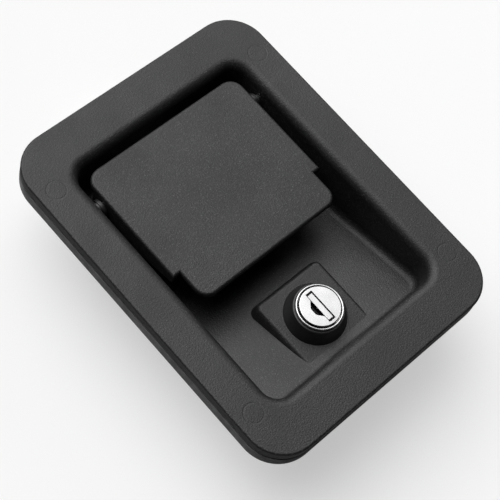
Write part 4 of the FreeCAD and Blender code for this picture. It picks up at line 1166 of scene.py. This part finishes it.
@dataclass
class Fasteners:
    """The nuts and bolts behind the dish, with sizes in millimetres.

    The weld studs' nuts lie on the lever, the hook's bolts and nuts clamp it, and the ring
    nut holds the lock in its pad.
    """

    weld_across: float = 7.0
    weld_along: float = 17.0
    weld_low: float = -3.3
    hook_across: float = 6.0
    hook_height: float = -11.5
    hook_nut: float = 28.0
    flats: float = 8.0
    nut: float = 4.0
    bore: float = 2.52
    head: float = 3.5
    head_along: float = 39.0
    shank: tuple[float, float] = (27.1, 38.9)
    shank_rows: int = 118
    shank_radius: float = 2.49
    tip_radius: float = 1.9
    pitch: float = 0.8
    depth: float = 0.4
    lock_flats: float = 22.0
    lock_nut: float = 3.5
    lock_bore: float = 8.02
    lock_place: tuple[float, float, float] = (0.0, -35.6, -15.3)

    def bolts(self) -> list[Sheet]:
        """Hexagon heads with threaded shanks that point to the lock end.

        Returns:
            The surfaces of both bolts.
        """
        sheets = []
        rows = np.linspace(*self.shank, self.shank_rows)
        radius = thread_radius(rows, THREAD_POINTS, self.shank_radius, self.pitch, self.depth)
        radius = np.minimum(radius, (self.tip_radius + (rows - rows[0]))[:, None])
        shank = turned(radius, rows)
        head = HexForm(self.flats, self.head, bevelled_below=False)
        for x in (-self.hook_across, self.hook_across):
            place = (x, 0.0, self.hook_height)
            sheets.append(Sheet(stand(shank, Axis.ALONG, place), cap_first=True, cap_last=True))
            sheets.append(head.sheet(Axis.ALONG, (x, self.head_along, self.hook_height)))
        return sheets

    def make(self, finishes: Finishes) -> None:
        """Builds the fasteners of the lever and the lock.

        Args:
            finishes: The latch's finishes.
        """
        nut = HexForm(self.flats, self.nut, bore=self.bore)
        lever = [
            nut.sheet(Axis.OUT, (x, self.weld_along, self.weld_low))
            for x in (-self.weld_across, self.weld_across)
        ]
        clamp = [
            nut.sheet(Axis.ALONG, (x, self.hook_nut, self.hook_height))
            for x in (-self.hook_across, self.hook_across)
        ]
        lock = HexForm(self.lock_flats, self.lock_nut, bore=self.lock_bore)
        ring = [lock.sheet(Axis.OUT, self.lock_place)]
        for name, sheets, crease, body, node in (
            ("lever_nuts", lever, 25.0, "paddle", "bracket_nuts"),
            ("clamp_nuts", clamp, 25.0, "paddle", "hook_nuts"),
            ("clamp_bolts", self.bolts(), 60.0, "paddle", "hook_bolts"),
            ("lock_ring_nut", ring, 25.0, "housing", "lock_nut"),
        ):
            finishes.dress(build_mesh(name, sheets, crease=crease), Finish.ZINC, body, node)


class Latch:
    """The whole latch: the CAD nodes with their finishes and the pieces made here."""

    def __init__(self) -> None:
        """Makes the finishes."""
        self.finishes = Finishes()

    def make(self) -> None:
        """Dresses the frame and builds the new pieces in order."""
        self.finishes.dress_frame()
        for part in (Seal(), HingeSprings(), Studs(), Fasteners()):
            part.make(self.finishes)
            log.info("%s done", type(part).__name__)


@dataclass
class Studio:
    """Pale floor, soft sky, one lamp and the camera at the photograph's place.

    The lens, the sensor, the camera's place, the floor's half width and its gap below the
    latch are in millimetres, the lamp's place and side in metres, its power in watts. The
    sky is strongest in the direction sky_middle and falls to sky_low where the cosine of
    the angle from it is sky_edge.
    """

    lens: float = 95.92
    sensor: float = 36.0
    nearest: float = 0.01
    eye: tuple[float, float, float] = (-191.5, -95.3, 412.8)
    right: tuple[float, float, float] = (0.7275, -0.6608, 0.1847)
    up: tuple[float, float, float] = (0.5538, 0.7244, 0.4107)
    back: tuple[float, float, float] = (-0.4051, -0.1965, 0.8929)
    floor_white: float = 0.42
    floor_lift: float = 0.5
    floor_bounce: float = 0.3
    floor_half: float = 2500.0
    floor_gap: float = 0.05
    surround: tuple[float, float, float] = (0.94, 0.945, 0.95)
    sky_middle: tuple[float, float, float] = (0.03, 0.56, 0.8)
    sky_edge: float = 0.7
    sky_low: float = 0.015
    sky_high: float = 4.45
    lamp_place: tuple[float, float, float] = (0.8, 0.2, 0.5)
    lamp_side: float = 0.4
    lamp_power: float = 1.2

    def camera(self) -> None:
        """Sets the camera where the photograph was taken from."""
        data = bpy.data.cameras.new("camera")
        data.lens = self.lens
        data.sensor_width = self.sensor
        data.sensor_fit = "HORIZONTAL"
        data.clip_start = self.nearest
        view = bpy.data.objects.new("camera", data)
        axes = (self.right, self.up, self.back, [v * MM for v in self.eye])
        view.matrix_world = Matrix([[*row] for row in zip(*axes)] + [[0, 0, 0, 1]])
        bpy.context.scene.collection.objects.link(view)
        bpy.context.scene.camera = view

    def lamp(self) -> None:
        """Adds a soft square lamp that faces the latch."""
        data = bpy.data.lights.new("key_lamp", "AREA")
        data.shape = "SQUARE"
        data.size = self.lamp_side
        data.energy = self.lamp_power
        lamp = bpy.data.objects.new("key_lamp", data)
        lamp.location = self.lamp_place
        lamp.rotation_euler = Vector(self.lamp_place).to_track_quat("Z", "Y").to_euler()
        bpy.context.scene.collection.objects.link(lamp)

    def world(self) -> None:
        """A soft sky for the light, and a plain pale surround where it is seen directly."""
        world = bpy.data.worlds.new("surround")
        bpy.context.scene.world = world
        world.use_nodes = True
        tree = world.node_tree
        nodes, links = tree.nodes, tree.links
        nodes.clear()
        near = nodes.new("ShaderNodeVectorMath")
        near.operation = "DOT_PRODUCT"
        near.inputs[1].default_value = Vector(self.sky_middle).normalized()
        links.new(nodes.new("ShaderNodeTexCoord").outputs["Generated"], near.inputs[0])
        glow = map_range(
            tree,
            near.outputs["Value"],
            (self.sky_edge, 1.0),
            (self.sky_low, self.sky_high),
            smooth=True,
        )
        soft = nodes.new("ShaderNodeBackground")
        soft.inputs["Color"].default_value = (1.0, 1.0, 1.0, 1.0)
        links.new(glow, soft.inputs["Strength"])
        seen = nodes.new("ShaderNodeBackground")
        seen.inputs["Color"].default_value = (*self.surround, 1.0)
        ray = nodes.new("ShaderNodeLightPath").outputs
        direct = maths(tree, "MAXIMUM", ray["Is Camera Ray"], ray["Is Transmission Ray"])
        mix = nodes.new("ShaderNodeMixShader")
        links.new(direct, mix.inputs["Fac"])
        links.new(soft.outputs[0], mix.inputs[1])
        links.new(seen.outputs[0], mix.inputs[2])
        links.new(mix.outputs[0], nodes.new("ShaderNodeOutputWorld").inputs["Surface"])

    def floor(self) -> None:
        """A wide floor under the latch, pale to the camera and dimmer to all other rays."""
        low, half = CAD_BOX[0][2] / MM - self.floor_gap, self.floor_half
        corners = [[(x, y, low) for x in (-half, half)] for y in (-half, half)]
        floor = build_mesh("floor", [Sheet(np.array(corners), loop_columns=False)])
        paint = Shader("floor_paint").set(
            Roughness=0.9,
            Specular_IOR_Level=0.1,
            Base_Color=(*(self.floor_white,) * 3, 1.0),
            Emission_Color=(1.0, 1.0, 1.0, 1.0),
            Emission_Strength=self.floor_lift,
        )
        plain = paint.nodes.new("ShaderNodeBsdfDiffuse")
        plain.inputs["Color"].default_value = (*(self.floor_bounce,) * 3, 1.0)
        ray = paint.nodes.new("ShaderNodeLightPath")
        mix = paint.nodes.new("ShaderNodeMixShader")
        paint.links.new(ray.outputs["Is Camera Ray"], mix.inputs["Fac"])
        paint.links.new(plain.outputs[0], mix.inputs[1])
        paint.links.new(paint.skin.outputs[0], mix.inputs[2])
        paint.links.new(mix.outputs[0], paint.nodes["Material Output"].inputs["Surface"])
        floor.data.materials.append(paint.material)

    def make(self) -> None:
        """Sets the camera first, then the surround, the floor and the lamp."""
        bpy.context.scene.view_settings.view_transform = "Standard"
        self.camera()
        self.world()
        self.floor()
        self.lamp()
        log.info("studio done")


def main() -> None:
    """Builds the studio and the latch."""
    logging.basicConfig(level=logging.INFO, format="%(name)s: %(message)s")
    Studio().make()
    Latch().make()


if __name__ == "__main__":
    main()
